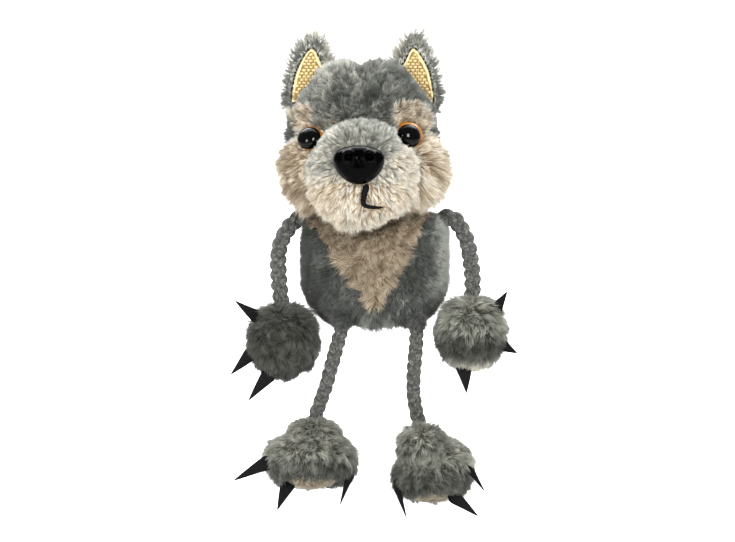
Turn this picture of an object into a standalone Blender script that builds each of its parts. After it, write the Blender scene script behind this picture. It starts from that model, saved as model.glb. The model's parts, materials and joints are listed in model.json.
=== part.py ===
"""Plush wolf finger puppet: stuffed head, padded bag body with a finger pocket, four cord limbs.

Metres, +Z up. The origin is the centre of the finger pocket's mouth, the face looks along -Y, and
"left" and "right" are the puppet's own, so its left side is at +X.
"""
import math

import bmesh
import bpy
from mathutils import Matrix, Vector

MM = 0.001
GAP = 0.3 * MM  # clearance between pieces that touch
SKIN = 1.2 * MM  # thickness of plush with its pile pressed flat
FILLING_GAP = 1.0  # between a skin and its filling, in millimetres
CLEAR = 0.35  # between a fitting and what is cut to take it, in millimetres

# Head: a blend of ellipsoids around one inner point, each (centre, radii) in millimetres
HEAD_CENTRE = (-3.6, -10.0, 53.0)
HEAD_LOBES = [
    ((-3.6, 1.0, 60.6), (22.4, 19.0, 19.6)),
    ((-8.6, 0.0, 63.5), (13.0, 16.0, 17.0)),
    ((1.2, 0.0, 63.5), (13.0, 16.0, 17.0)),
    ((-15.0, -5.5, 48.8), (13.4, 13.0, 12.2)),
    ((8.0, -5.5, 48.8), (13.2, 13.0, 12.2)),
    ((-3.8, -18.6, 46.8), (16.3, 13.8, 15.8)),
]
HEAD_BLEND = 0.8
HEAD_SEGMENTS, HEAD_RINGS = 26, 15
HEAD_SIDE_SEAM_Y = 3.0
BROW_SEAM_Z = 63.0
FACE_SEAM_X = -3.9
SNOUT_BASE_Z = 43.5
SNOUT_CORNERS = ((-18.6, 55.0), (12.4, 54.4))  # where the snout panel meets the cheeks, (x, z)
SNOUT_HALF_APEX = 5.0

# Body: a superellipsoid bag
BODY_CENTRE = (0.0, 1.0, 17.6)
BODY_RADII = (21.8, 13.6, 17.6)
TOP_POWER, SHOULDER_POWER = 3.3, 3.8  # squareness of the top edge, and what the sides add
HEM_POWER, FRONT_HEM_POWER = 2.4, 1.2  # squareness of the lower edge, and what the front adds
BODY_SEGMENTS, BODY_RINGS = 22, 13
BODY_SIDE_SEAM_Y = 5.0
BIB_POINT = (0.1, 5.9)
BIB_CORNERS = ((-18.6, 31.6), (14.9, 32.6))

# Finger pocket
POCKET_HALF_WIDTH, POCKET_HALF_DEPTH = 8.8, 8.0
POCKET_POWER = 3.0
POCKET_HEIGHT = 31.5
LINING = 0.7

# Neck
NECK_X, NECK_Y, NECK_Z = -1.8, 1.5, 38.3
GATHER_RADIUS, GATHER_THICKNESS, GATHER_DROP = 5.8, 0.75, 1.75
THREAD_RADIUS, THREAD_THICKNESS = 3.2, 0.45

# Safety eyes and nose
EYE_PLACES = {"right": (-18.9, 57.2), "left": (10.0, 58.0)}
EYE_RADIUS = 4.2
EYE_HEIGHT = 3.0
SHAFT_RADIUS, SHAFT_LENGTH = 1.0, 4.6
WASHER_RADIUS, WASHER_THICKNESS = 3.2, 0.8
WASHER_DEPTH = 2.9
SEAT_HEIGHT = 0.35  # of a fitting's flat back above the pressed plush
DISH_FRONT = 8.0  # how far in front of a fitting its seat is cut clear
EYE_LOOK, NOSE_LOOK = 0.6, 0.5  # how far each faces along the wall's slope instead of straight ahead
NOSE_PLACE = (-4.8, 49.2)
NOSE_HALF_WIDTH, NOSE_HALF_HEIGHT, NOSE_DEPTH = 7.4, 5.2, 4.6
NOSE_FLARE = 0.22  # how much wider the top of the nose is than its middle
MOUTH_ROUTE = [(-2.4, 43.2), (-3.2, 40.4), (-3.3, 37.6), (-0.8, 36.8), (2.1, 36.8)]
MOUTH_THREAD_RADIUS = 0.5

# Ears: outline corners in millimetres (x, z), front to back thickness
EAR_BASE_Y = 2.0
EAR_THICKNESS = 4.2
EAR_FELT_FRONT, EAR_FELT_BACK = 1.0, 0.35  # inner ear's faces, in front of the plush
EAR_EDGE = 1.2
EARS = {
    "right": dict(outline=[(-27.2, 66.0), (-26.2, 78.0), (-23.0, 86.0), (-19.6, 90.0),
                           (-16.2, 87.0), (-13.2, 81.5), (-10.4, 76.0), (-13.0, 64.0)],
                  inner=[(-24.9, 69.0), (-23.6, 77.5), (-19.4, 84.8), (-16.6, 80.6), (-15.4, 77.0),
                         (-20.2, 72.4)]),
    "left": dict(outline=[(19.8, 66.0), (18.9, 78.0), (15.6, 86.0), (12.2, 90.0),
                          (8.8, 87.0), (5.8, 81.5), (3.0, 76.0), (6.0, 64.0)],
                 inner=[(17.3, 69.0), (16.2, 77.5), (12.0, 84.8), (9.5, 81.2), (8.0, 77.4),
                        (12.8, 72.4)]),
}

# Limbs. Each cord runs from its joint at the seam to the joint at its bend, then on to the paw
CORD_RADIUS = {"arm": 2.6, "leg": 2.25}
KNOT_RADIUS = 1.8
KNOT_GAP, BEND_GAP = 0.4, 0.2  # from a cord's end to the knot, and to the joint at its bend
JOINT_TAPER = 1.6  # cord ends narrow over this length, so that a bend stays clear
TAPER_TIP = 0.25  # radius left at the end of the taper
TAPER_CLEAR = 1.3  # route points nearer to a joint than this many tapers are left out
ROUTES = {
    ("arm", "right"): dict(upper=[(-21.6, 0.0, 34.7), (-24.4, -0.6, 32.6), (-27.2, -1.2, 29.0),
                                  (-28.8, -2.0, 25.0), (-29.2, -2.8, 21.0)],
                           lower=[(-29.2, -2.8, 21.0), (-29.0, -4.0, 16.5), (-28.6, -5.2, 12.0),
                                  (-28.2, -6.2, 8.2)]),
    ("arm", "left"): dict(upper=[(21.4, 0.0, 34.9), (24.2, -0.6, 33.2), (26.2, -1.2, 30.2),
                                 (27.8, -2.0, 26.4), (28.6, -2.8, 22.2)],
                          lower=[(28.6, -2.8, 22.2), (29.2, -4.0, 18.0), (29.4, -5.2, 14.0),
                                 (29.2, -6.2, 10.4)]),
    ("leg", "right"): dict(upper=[(-10.0, -9.4, 0.6), (-11.0, -9.4, -3.2), (-12.2, -9.2, -7.6),
                                  (-13.4, -9.0, -12.0)],
                           lower=[(-13.4, -9.0, -12.0), (-14.6, -8.8, -16.4), (-16.2, -8.6, -21.0),
                                  (-17.8, -8.6, -25.8)]),
    ("leg", "left"): dict(upper=[(12.4, -9.2, 0.4), (12.3, -9.4, -4.0), (11.9, -9.4, -9.0),
                                 (11.6, -9.2, -13.4)],
                          lower=[(11.6, -9.2, -13.4), (11.5, -9.0, -18.6), (12.2, -8.8, -23.6),
                                 (13.4, -8.6, -28.4)]),
}
PAWS = {
    ("arm", "right"): dict(centre=(-27.5, -7.0, -3.2), lobes=[((0, 0, 0), (10.9, 10.4, 11.3))]),
    ("arm", "left"): dict(centre=(28.8, -7.0, -0.9), lobes=[((0, 0, 0), (10.9, 10.4, 11.2))]),
    ("leg", "right"): dict(centre=(-18.6, -9.6, -36.2), sole=-45.0,
                           lobes=[((-0.6, -1.4, -2.8), (14.0, 12.0, 9.2)),
                                  ((0.4, 0.6, 2.4), (9.0, 8.8, 8.4))]),
    ("leg", "left"): dict(centre=(15.6, -9.6, -38.6), sole=-49.0,
                          lobes=[((1.8, -1.4, -4.2), (12.2, 11.8, 9.6)),
                                 ((-1.2, 0.4, 2.6), (7.8, 8.2, 8.0))]),
}
PAW_BLEND = 0.6
PAW_OPENING = 3.4
SOLE_SLOPE = 0.25  # how far a sole's seam rises towards the toes

# Claws: angle of the root around the paw (degrees from +X towards +Z), and the tip (x, z)
CLAW_THICKNESS = 0.9
CLAWS = {
    ("arm", "right"): [(137, (-42.0, 9.0), 4.6), (202, (-43.3, -13.4), 4.8), (248, (-38.0, -21.3), 5.2)],
    ("arm", "left"): [(44, (39.6, 11.8), 4.4), (-21, (42.6, -6.9), 4.4), (258, (27.3, -19.0), 5.6)],
    ("leg", "right"): [(193, (-42.4, -44.7), 5.0), (233, (-29.1, -53.5), 5.0), (-36, (-10.6, -52.3), 4.6)],
    ("leg", "left"): [(229, (9.6, -56.3), 5.4), (-54, (30.8, -55.2), 4.6), (-20, (33.0, -48.4), 4.2)],
}
CLAW_FORWARD = {"arm": 0.35, "leg": 0.6}  # how far the claw roots turn to the front
CLAW_REACH_FORWARD = 2.0
CLAW_BEND = 0.1  # sideways bow, as a part of half the width
CLAW_STAND = 0.5  # gap between a claw's root and the paw
CLAW_STEPS = 4

GREY = (0.20, 0.21, 0.21)
DARK_GREY = (0.13, 0.14, 0.145)
LIGHT_GREY = (0.45, 0.44, 0.42)
CREAM = (0.62, 0.53, 0.43)
TAUPE = (0.40, 0.32, 0.24)
PAW_GREY = (0.25, 0.26, 0.24)
CORD_GREY = (0.22, 0.22, 0.23)
GOLD = (0.72, 0.50, 0.17)
AMBER = (0.45, 0.20, 0.02)
BLACK = (0.008, 0.008, 0.009)
WHITE = (0.80, 0.79, 0.76)


def mm(point):
    """A point in millimetres as a Vector in metres."""
    return Vector(point) * MM


def clear_scene():
    for obj in list(bpy.data.objects):
        bpy.data.objects.remove(obj, do_unlink=True)


def material(name, colour, roughness=0.9):
    found = bpy.data.materials.get(name)
    if found:
        return found
    mat = bpy.data.materials.new(name)
    mat.use_nodes = True
    shader = mat.node_tree.nodes["Principled BSDF"]
    shader.inputs["Base Color"].default_value = (*colour, 1.0)
    shader.inputs["Roughness"].default_value = roughness
    shader.inputs["Metallic"].default_value = 0.0
    return mat


def add_object(name, bm, colour, roughness=0.9, origin=None):
    """Turn a bmesh in world space into a named object whose origin is the given point."""
    bmesh.ops.recalc_face_normals(bm, faces=bm.faces[:])
    mesh = bpy.data.meshes.new(name)
    bm.to_mesh(mesh)
    bm.free()
    mesh.shade_smooth()
    mesh.set_sharp_from_angle(angle=math.radians(40))
    obj = bpy.data.objects.new(name, mesh)
    bpy.context.scene.collection.objects.link(obj)
    mesh.materials.append(material(name, colour, roughness))
    if origin is not None:
        mesh.transform(Matrix.Translation(-origin))
        obj.location = origin
    return obj


def cutter_object(name, bm):
    """A guide solid for Booleans, which isn't part of the puppet."""
    bmesh.ops.recalc_face_normals(bm, faces=bm.faces[:])
    mesh = bpy.data.meshes.new(name)
    bm.to_mesh(mesh)
    bm.free()
    obj = bpy.data.objects.new(name, mesh)
    bpy.context.scene.collection.objects.link(obj)
    obj.hide_render = True
    obj.display_type = "WIRE"
    return obj


def cut(obj, cutter):
    boolean = obj.modifiers.new("cut_" + cutter.name, "BOOLEAN")
    boolean.operation = "DIFFERENCE"
    boolean.solver = "EXACT"
    boolean.object = cutter


def thicken(bm, centre):
    """Give an open shell, or hollow a closed one, with a wall of SKIN towards the centre."""
    pulled = bmesh.ops.extrude_face_region(bm, geom=bm.faces[:])
    for item in pulled["geom"]:
        if isinstance(item, bmesh.types.BMVert):
            inwards = mm(centre) - item.co
            item.co += inwards.normalized() * SKIN


# ---------------------------------------------------------------- blended round forms

def lobe_reach(direction, offset, radii):
    """Distance from the inner point to the wall of one ellipsoid that holds it."""
    a = sum((d / r) ** 2 for d, r in zip(direction, radii))
    b = sum(d * o / r**2 for d, o, r in zip(direction, offset, radii))
    c = sum((o / r) ** 2 for o, r in zip(offset, radii)) - 1.0
    return (b + math.sqrt(max(b * b - a * c, 0.0))) / a


def blended_reach(direction, lobes, blend):
    reaches = [lobe_reach(direction, offset, radii) for offset, radii in lobes]
    return blend * math.log(sum(math.exp(reach / blend) for reach in reaches))


def head_reach(direction):
    lobes = [([c - h for c, h in zip(centre, HEAD_CENTRE)], radii) for centre, radii in HEAD_LOBES]
    return blended_reach(direction, lobes, HEAD_BLEND)


def body_reach(direction):
    """Superellipsoid with square shoulders at the sides, and a squarer lower edge at the front."""
    across = max(direction[0] ** 2 + direction[1] ** 2, 1e-9)
    if direction[2] > 0:
        power = TOP_POWER + SHOULDER_POWER * (direction[0] ** 2 / across) ** 2
    else:
        power = HEM_POWER + FRONT_HEM_POWER * direction[1] ** 2 / across
    level = math.sqrt((direction[0] / BODY_RADII[0]) ** 2 + (direction[1] / BODY_RADII[1]) ** 2)
    return (level**power + abs(direction[2] / BODY_RADII[2]) ** power) ** (-1.0 / power)


def paw_reach(paw):
    return lambda direction: blended_reach(direction, paw["lobes"], PAW_BLEND)


def blob(centre, reach, segments, rings, inset=0.0):
    """Closed sphere-like mesh whose wall lies at reach(direction) - inset, in millimetres."""
    bm = bmesh.new()
    bmesh.ops.create_uvsphere(bm, u_segments=segments, v_segments=rings, radius=1.0)
    for vert in bm.verts:
        direction = vert.co.normalized()
        vert.co = mm(centre) + direction * (reach(direction) - inset) * MM
    return bm


def wall_point(centre, reach, x, z):
    """Front wall point of a blended form at the given x and z, and the outward normal there."""
    near, far = 0.0, 60.0
    for _ in range(50):
        depth = (near + far) / 2
        offset = Vector((x - centre[0], -depth, z - centre[2]))
        if offset.length < reach(offset.normalized()):
            near = depth
        else:
            far = depth
    point = Vector((x, centre[1] - near, z))
    return point, wall_normal(centre, reach, point)


def wall_normal(centre, reach, point):
    def outside(place):
        offset = place - Vector(centre)
        return offset.length - reach(offset.normalized())

    step = 0.05
    slopes = [outside(point + Vector(axis) * step) - outside(point - Vector(axis) * step)
              for axis in ((1, 0, 0), (0, 1, 0), (0, 0, 1))]
    return Vector(slopes).normalized()


# ---------------------------------------------------------------- sewn panels

def split_seams(bm, seams):
    """Cut the mesh along both edges of each seam's gap. All but the first stop at the first."""
    for seam in seams:
        for side in (-0.5, 0.5):
            faces = [face for face in bm.faces
                     if seam is seams[0] or seam_side(face.calc_center_median() / MM, seams[0]) < 0]
            edges = {edge for face in faces for edge in face.edges}
            verts = {vert for face in faces for vert in face.verts}
            bmesh.ops.bisect_plane(
                bm, geom=[*faces, *edges, *verts], dist=1e-7,
                plane_co=mm(seam[0]) + Vector(seam[1]).normalized() * side * GAP,
                plane_no=Vector(seam[1]))


def in_gap(point, seams, panel_of):
    """Whether a point lies in the gap between two different panels."""
    for seam_point, normal in seams:
        unit = Vector(normal).normalized()
        distance = (point - mm(seam_point)).dot(unit)
        if abs(distance) < GAP / 2:
            onto = point - unit * distance
            if panel_of((onto + unit * 2 * GAP) / MM) != panel_of((onto - unit * 2 * GAP) / MM):
                return True
    return False


def sewn_panels(bm, centre, seams, panel_of, colours):
    """Split a closed form into separate thick panels along its seams."""
    split_seams(bm, seams)
    panels = {}
    for name in colours:
        piece = bm.copy()
        drop = []
        for face in piece.faces:
            middle = face.calc_center_median()
            if in_gap(middle, seams, panel_of) or panel_of(middle / MM) != name:
                drop.append(face)
        bmesh.ops.delete(piece, geom=drop, context="FACES")
        bmesh.ops.remove_doubles(piece, verts=piece.verts[:], dist=1e-6)
        thicken(piece, centre)
        panels[name] = add_object(name, piece, colours[name])
    bm.free()
    return panels


def slanted_seam(start, end):
    """A seam seen from the front as the line between two (x, z) points."""
    run = (end[0] - start[0], end[1] - start[1])
    return ((start[0], 0.0, start[1]), (-run[1], 0.0, run[0]))


def seam_side(point, seam):
    """Signed distance of a point from a seam's plane, in the length of its normal."""
    return (Vector(point) - Vector(seam[0])).dot(Vector(seam[1]))


# ---------------------------------------------------------------- head

SNOUT_APEX = (FACE_SEAM_X, BROW_SEAM_Z)
HEAD_SEAMS = [
    ((0, HEAD_SIDE_SEAM_Y, 0), (0, 1, 0)),
    ((0, 0, BROW_SEAM_Z), (0, 0, 1)),
    ((FACE_SEAM_X, 0, 0), (1, 0, 0)),
    ((0, 0, SNOUT_BASE_Z), (0, 0, 1)),
    slanted_seam(SNOUT_CORNERS[0], (SNOUT_APEX[0] - SNOUT_HALF_APEX, SNOUT_APEX[1])),
    slanted_seam((SNOUT_APEX[0] + SNOUT_HALF_APEX, SNOUT_APEX[1]), SNOUT_CORNERS[1]),
    ((SNOUT_CORNERS[0][0], 0, 0), (-1, 0, 0)),
    ((SNOUT_CORNERS[1][0], 0, 0), (1, 0, 0)),
]


def head_panel(point):
    if point[1] > HEAD_SIDE_SEAM_Y:
        return "head_back"
    if point[2] > BROW_SEAM_Z:
        return "crown_right" if point[0] < FACE_SEAM_X else "crown_left"
    inside_snout = all(seam_side(point, seam) < 0 for seam in HEAD_SEAMS[4:])
    in_front = point[1] < HEAD_CENTRE[1]
    if in_front and point[2] > SNOUT_BASE_Z and inside_snout:
        return "muzzle_top"
    return "cheek_right" if point[0] < FACE_SEAM_X else "cheek_left"


def head_skins():
    bm = blob(HEAD_CENTRE, head_reach, HEAD_SEGMENTS, HEAD_RINGS)
    return sewn_panels(bm, HEAD_CENTRE, HEAD_SEAMS, head_panel, {
        "head_back": GREY, "crown_right": GREY, "crown_left": GREY,
        "muzzle_top": LIGHT_GREY, "cheek_right": CREAM, "cheek_left": CREAM})


def rounded_cap(radius_x, radius_z, depth, segments=16, rings=5):
    """Closed dome, flat at the back, with its centre at the origin, bulging to -Y."""
    bm = bmesh.new()
    bmesh.ops.create_uvsphere(bm, u_segments=segments, v_segments=2 * rings, radius=1.0)
    bmesh.ops.rotate(bm, verts=bm.verts[:], matrix=Matrix.Rotation(math.pi / 2, 3, "X"))
    bmesh.ops.bisect_plane(bm, geom=bm.verts[:] + bm.edges[:] + bm.faces[:], dist=1e-6,
                           plane_co=(0, 0, 0), plane_no=(0, 1, 0), clear_outer=True)
    rim = [edge for edge in bm.edges if edge.is_boundary]
    bmesh.ops.edgeloop_fill(bm, edges=rim)
    for vert in bm.verts:
        vert.co = Vector((vert.co.x * radius_x, vert.co.y * depth, vert.co.z * radius_z)) * MM
    return bm


def add_shaft(bm, radius, length):
    """Pull a round shaft to +Y out of the flat back of a cap."""
    back = min((f for f in bm.faces if f.normal.y > 0.9 or len(f.verts) > 6),
               key=lambda f: -f.calc_area())
    bmesh.ops.inset_individual(bm, faces=[back], thickness=0.2 * MM)
    ring = back.verts[:]
    for vert in ring:
        flat = Vector((vert.co.x, 0, vert.co.z)).normalized() * radius * MM
        vert.co = Vector((flat.x, vert.co.y, flat.z))
    pulled = bmesh.ops.extrude_face_region(bm, geom=[back])
    tips = [item for item in pulled["geom"] if isinstance(item, bmesh.types.BMVert)]
    bmesh.ops.translate(bm, verts=tips, vec=(0, length * MM, 0))
    bmesh.ops.delete(bm, geom=[back], context="FACES_ONLY")


def facing(normal):
    """Rotation that turns -Y onto the given normal."""
    return Vector((0, -1, 0)).rotation_difference(normal).to_matrix().to_4x4()


def rod(radius, start, end, segments=12):
    """Closed cylinder along Y, in millimetres."""
    bm = bmesh.new()
    bmesh.ops.create_cone(bm, cap_ends=True, segments=segments, radius1=radius * MM,
                          radius2=radius * MM, depth=(end - start) * MM,
                          matrix=Matrix.Translation((0, (start + end) / 2 * MM, 0))
                          @ Matrix.Rotation(math.pi / 2, 4, "X"))
    return bm


def washer(inner, outer, thickness, segments=14):
    """Flat ring around Y, starting at the origin and running to +Y."""
    bm = bmesh.new()
    corners = [(inner, 0.0), (outer, 0.0), (outer, thickness), (inner, thickness)]
    verts = [bm.verts.new((x * MM, y * MM, 0)) for x, y in corners]
    loop = [bm.edges.new((verts[i], verts[(i + 1) % 4])) for i in range(4)]
    bmesh.ops.spin(bm, geom=verts + loop, cent=(0, 0, 0), axis=(0, 1, 0),
                   angle=2 * math.pi, steps=segments, use_merge=True, use_duplicate=False)
    bmesh.ops.remove_doubles(bm, verts=bm.verts[:], dist=1e-7)
    return bm


def place(bm, point, normal):
    bmesh.ops.transform(bm, matrix=Matrix.Translation(mm(point)) @ facing(normal), verts=bm.verts[:])
    return bm


def moulded_fitting(name, washer_name, cap, seat_radius, place_xz, look, colour, skins, filling):
    """A moulded cap seated in the face, its shaft through the skin and its washer in the filling."""
    point, normal = wall_point(HEAD_CENTRE, head_reach, *place_xz)
    normal = Vector((normal.x * look, normal.y, normal.z * look)).normalized()
    seat = point + normal * SEAT_HEIGHT
    add_shaft(cap, SHAFT_RADIUS, SHAFT_LENGTH)
    add_object(name, place(cap, seat, normal), colour, roughness=0.08)
    ring = washer(SHAFT_RADIUS + CLEAR, WASHER_RADIUS, WASHER_THICKNESS)
    add_object(washer_name, place(ring, seat - normal * WASHER_DEPTH, normal), WHITE, roughness=0.4)
    shaft_end, washer_space = SHAFT_LENGTH + CLEAR, WASHER_RADIUS + CLEAR

    def cutter(use, radius, start, end):
        return cutter_object(f"{name}_{use}", place(rod(radius, start, end), seat, normal))

    hole = cutter("hole", SHAFT_RADIUS + CLEAR, -WASHER_DEPTH, shaft_end)
    dish = cutter("dish", seat_radius + CLEAR, -DISH_FRONT, SEAT_HEIGHT)
    recess = cutter("recess", washer_space, -DISH_FRONT, shaft_end)
    inner_side = cutter("inner_side", washer_space, WASHER_DEPTH - CLEAR, shaft_end)
    for skin in skins:
        for tool in (hole, dish, inner_side):
            cut(skin, tool)
    cut(filling, recess)
    cut(filling, dish)


def face_fittings(panels, filling):
    for side in ("right", "left"):
        cap = rounded_cap(EYE_RADIUS, EYE_RADIUS, EYE_HEIGHT)
        moulded_fitting("eye_" + side, "eye_washer_" + side, cap, EYE_RADIUS, EYE_PLACES[side],
                        EYE_LOOK, AMBER, [panels["cheek_" + side], panels["muzzle_top"]], filling)
    cap = rounded_cap(NOSE_HALF_WIDTH, NOSE_HALF_HEIGHT, NOSE_DEPTH)
    for vert in cap.verts:
        vert.co.x *= 1.0 + NOSE_FLARE * vert.co.z / (NOSE_HALF_HEIGHT * MM)
    seat_radius = NOSE_HALF_WIDTH * (1.0 + NOSE_FLARE)
    moulded_fitting("nose", "nose_washer", cap, seat_radius, NOSE_PLACE, NOSE_LOOK, BLACK,
                    [panels["muzzle_top"]], filling)


def tube(name, points, radii, colour, resolution=2, roughness=0.9):
    """Closed tube through points, with a radius at each."""
    curve = bpy.data.curves.new(name, "CURVE")
    curve.dimensions = "3D"
    curve.bevel_depth = MM
    curve.bevel_resolution = resolution
    curve.use_fill_caps = True
    spline = curve.splines.new("POLY")
    spline.points.add(len(points) - 1)
    origin = points[0]
    for spot, point, radius in zip(spline.points, points, radii):
        spot.co = (*(point - origin), 1.0)
        spot.radius = radius
    obj = bpy.data.objects.new(name, curve)
    obj.location = origin
    curve.materials.append(material(name, colour, roughness))
    bpy.context.scene.collection.objects.link(obj)
    return obj


def mouth_stitch():
    clear = MOUTH_THREAD_RADIUS + CLEAR
    points = []
    for x, z in MOUTH_ROUTE:
        point, normal = wall_point(HEAD_CENTRE, head_reach, x, z)
        points.append(mm(point + normal * clear))
    tube("mouth_stitch", points, [MOUTH_THREAD_RADIUS] * len(points), BLACK)


def prism(outline, front, back):
    """Extrude an (x, z) outline from y=front to y=back."""
    bm = bmesh.new()
    face = bm.faces.new([bm.verts.new((x * MM, front * MM, z * MM)) for x, z in outline])
    pulled = bmesh.ops.extrude_face_region(bm, geom=[face])
    verts = [item for item in pulled["geom"] if isinstance(item, bmesh.types.BMVert)]
    bmesh.ops.translate(bm, verts=verts, vec=(0, (back - front) * MM, 0))
    return bm


def ears():
    clearance = cutter_object("head_clearance",
                              blob(HEAD_CENTRE, head_reach, HEAD_SEGMENTS, HEAD_RINGS, -CLEAR))
    for side, shape in EARS.items():
        back = prism(shape["outline"], EAR_BASE_Y, EAR_BASE_Y + EAR_THICKNESS)
        ear = add_object("ear_back_" + side, back, GREY)
        bevel = ear.modifiers.new("soft_edge", "BEVEL")
        bevel.width = EAR_EDGE * MM
        bevel.segments = 2
        cut(ear, clearance)
        front = prism(shape["inner"], EAR_BASE_Y - EAR_FELT_FRONT, EAR_BASE_Y - EAR_FELT_BACK)
        inner = add_object("inner_ear_" + side, front, GOLD)
        cut(inner, clearance)


def head():
    panels = head_skins()
    filling = add_object("head_filling", blob(HEAD_CENTRE, head_reach, HEAD_SEGMENTS, HEAD_RINGS,
                                              SKIN / MM + FILLING_GAP), WHITE)
    face_fittings(panels, filling)
    mouth_stitch()
    ears()


# ---------------------------------------------------------------- body

BODY_SEAMS = [
    ((0, BODY_SIDE_SEAM_Y, 0), (0, 1, 0)),
    ((BIB_POINT[0], 0, 0), (1, 0, 0)),
    slanted_seam(BIB_CORNERS[0], BIB_POINT),
    slanted_seam(BIB_POINT, BIB_CORNERS[1]),
]


def body_panel(point):
    if point[1] > BODY_SIDE_SEAM_Y:
        return "back_panel"
    above_v = seam_side(point, BODY_SEAMS[2]) > 0 and seam_side(point, BODY_SEAMS[3]) > 0
    if above_v and point[1] < 0:
        return "bib"
    return "body_panel_right" if point[0] < BIB_POINT[0] else "body_panel_left"


def pocket_outline(grow, steps=20):
    """Corners (x, y) of the pocket's rounded outline, in millimetres."""
    corners = []
    for i in range(steps):
        angle = 2 * math.pi * (i + 0.5) / steps
        c, s = math.cos(angle), math.sin(angle)
        reach = (abs(c / (POCKET_HALF_WIDTH + grow)) ** POCKET_POWER
                 + abs(s / (POCKET_HALF_DEPTH + grow)) ** POCKET_POWER) ** (-1 / POCKET_POWER)
        corners.append((reach * c, reach * s))
    return corners


def pocket_wall(bm, grow, bottom):
    """Wall of the pocket, closed by a rounded end, and the vertices of its open lower edge."""
    top = POCKET_HEIGHT + grow
    levels = [(bottom, 1.0), (top - 10.0, 0.98), (top - 4.5, 0.86), (top - 1.4, 0.62), (top, 0.35)]
    rows = [[bm.verts.new(mm((x * scale, y * scale, height))) for x, y in pocket_outline(grow)]
            for height, scale in levels]
    for lower, upper in zip(rows, rows[1:]):
        band(bm, lower, upper)
    bm.faces.new(rows[-1])
    return rows[0]


def band(bm, lower, upper):
    """Join two rows of the same number of vertices with a ring of faces."""
    count = len(lower)
    for i in range(count):
        k = (i + 1) % count
        bm.faces.new((lower[i], lower[k], upper[k], upper[i]))


def pocket_cutter():
    bm = bmesh.new()
    bm.faces.new(pocket_wall(bm, LINING + CLEAR, -BODY_RADII[2] / 2))
    return cutter_object("pocket_space", bm)


def finger_lining():
    bm = bmesh.new()
    outer = pocket_wall(bm, LINING, 0.0)
    inner = pocket_wall(bm, 0.0, 0.0)
    band(bm, outer, inner)
    add_object("finger_lining", bm, DARK_GREY)


def body():
    bm = blob(BODY_CENTRE, body_reach, BODY_SEGMENTS, BODY_RINGS)
    panels = sewn_panels(bm, BODY_CENTRE, BODY_SEAMS, body_panel, {
        "back_panel": DARK_GREY, "bib": TAUPE,
        "body_panel_right": DARK_GREY, "body_panel_left": DARK_GREY})
    space = pocket_cutter()
    for name in ("back_panel", "body_panel_right", "body_panel_left"):
        cut(panels[name], space)
    filling = add_object("body_filling", blob(BODY_CENTRE, body_reach, BODY_SEGMENTS, BODY_RINGS,
                                              SKIN / MM + FILLING_GAP), WHITE)
    cut(filling, space)
    finger_lining()


def ring(name, radius, thickness, centre, colour):
    """Turned ring around Z."""
    bm = bmesh.new()
    bmesh.ops.create_circle(bm, segments=8, radius=thickness * MM, matrix=Matrix.Translation(
        (radius * MM, 0, 0)) @ Matrix.Rotation(math.pi / 2, 4, "X"))
    bmesh.ops.spin(bm, geom=bm.verts[:] + bm.edges[:], cent=(0, 0, 0), axis=(0, 0, 1),
                   angle=2 * math.pi, steps=20, use_merge=True, use_duplicate=False)
    bmesh.ops.remove_doubles(bm, verts=bm.verts[:], dist=1e-7)
    bmesh.ops.translate(bm, verts=bm.verts[:], vec=mm(centre))
    add_object(name, bm, colour, origin=mm(centre))


def neck():
    ring("neck_gather", GATHER_RADIUS, GATHER_THICKNESS, (NECK_X, NECK_Y, NECK_Z - GATHER_DROP), DARK_GREY)
    ring("neck_thread", THREAD_RADIUS, THREAD_THICKNESS, (NECK_X, NECK_Y, NECK_Z), WHITE)


# ---------------------------------------------------------------- limbs

def smooth_route(points, steps=3):
    """Points on a smooth curve through the route's own points (Catmull-Rom)."""
    ends = [2 * points[0] - points[1]] + points + [2 * points[-1] - points[-2]]
    route = []
    for i in range(1, len(ends) - 2):
        a, b, c, d = ends[i - 1:i + 3]
        for k in range(steps):
            t = k / steps
            route.append(0.5 * (2 * b + (c - a) * t + (2 * a - 5 * b + 4 * c - d) * t**2
                                + (3 * b - a - 3 * c + d) * t**3))
    route.append(points[-1])
    return route


def cord(name, route, radius, start_gap, end_gap, origin):
    """A cord whose ends narrow towards the joints they stop at."""
    points = smooth_route([mm(point) for point in route])
    first = (points[1] - points[0]).normalized()
    last = (points[-2] - points[-1]).normalized()
    full_start, full_end = start_gap + JOINT_TAPER, end_gap + JOINT_TAPER
    body = [p for p in points
            if (p - points[0]).length > full_start * TAPER_CLEAR * MM
            and (p - points[-1]).length > full_end * TAPER_CLEAR * MM]
    line = [points[0] + first * start_gap * MM, points[0] + first * full_start * MM, *body,
            points[-1] + last * full_end * MM, points[-1] + last * end_gap * MM]
    radii = [TAPER_TIP, radius, *[radius] * len(body), radius, TAPER_TIP]
    obj = tube(name, line, radii, CORD_GREY)
    obj.data.transform(Matrix.Translation(obj.location - origin))
    obj.location = origin


def knot(name, centre):
    bm = bmesh.new()
    bmesh.ops.create_icosphere(bm, subdivisions=1, radius=KNOT_RADIUS * MM,
                               matrix=Matrix.Translation(centre))
    add_object(name, bm, CORD_GREY, origin=centre)


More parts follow.
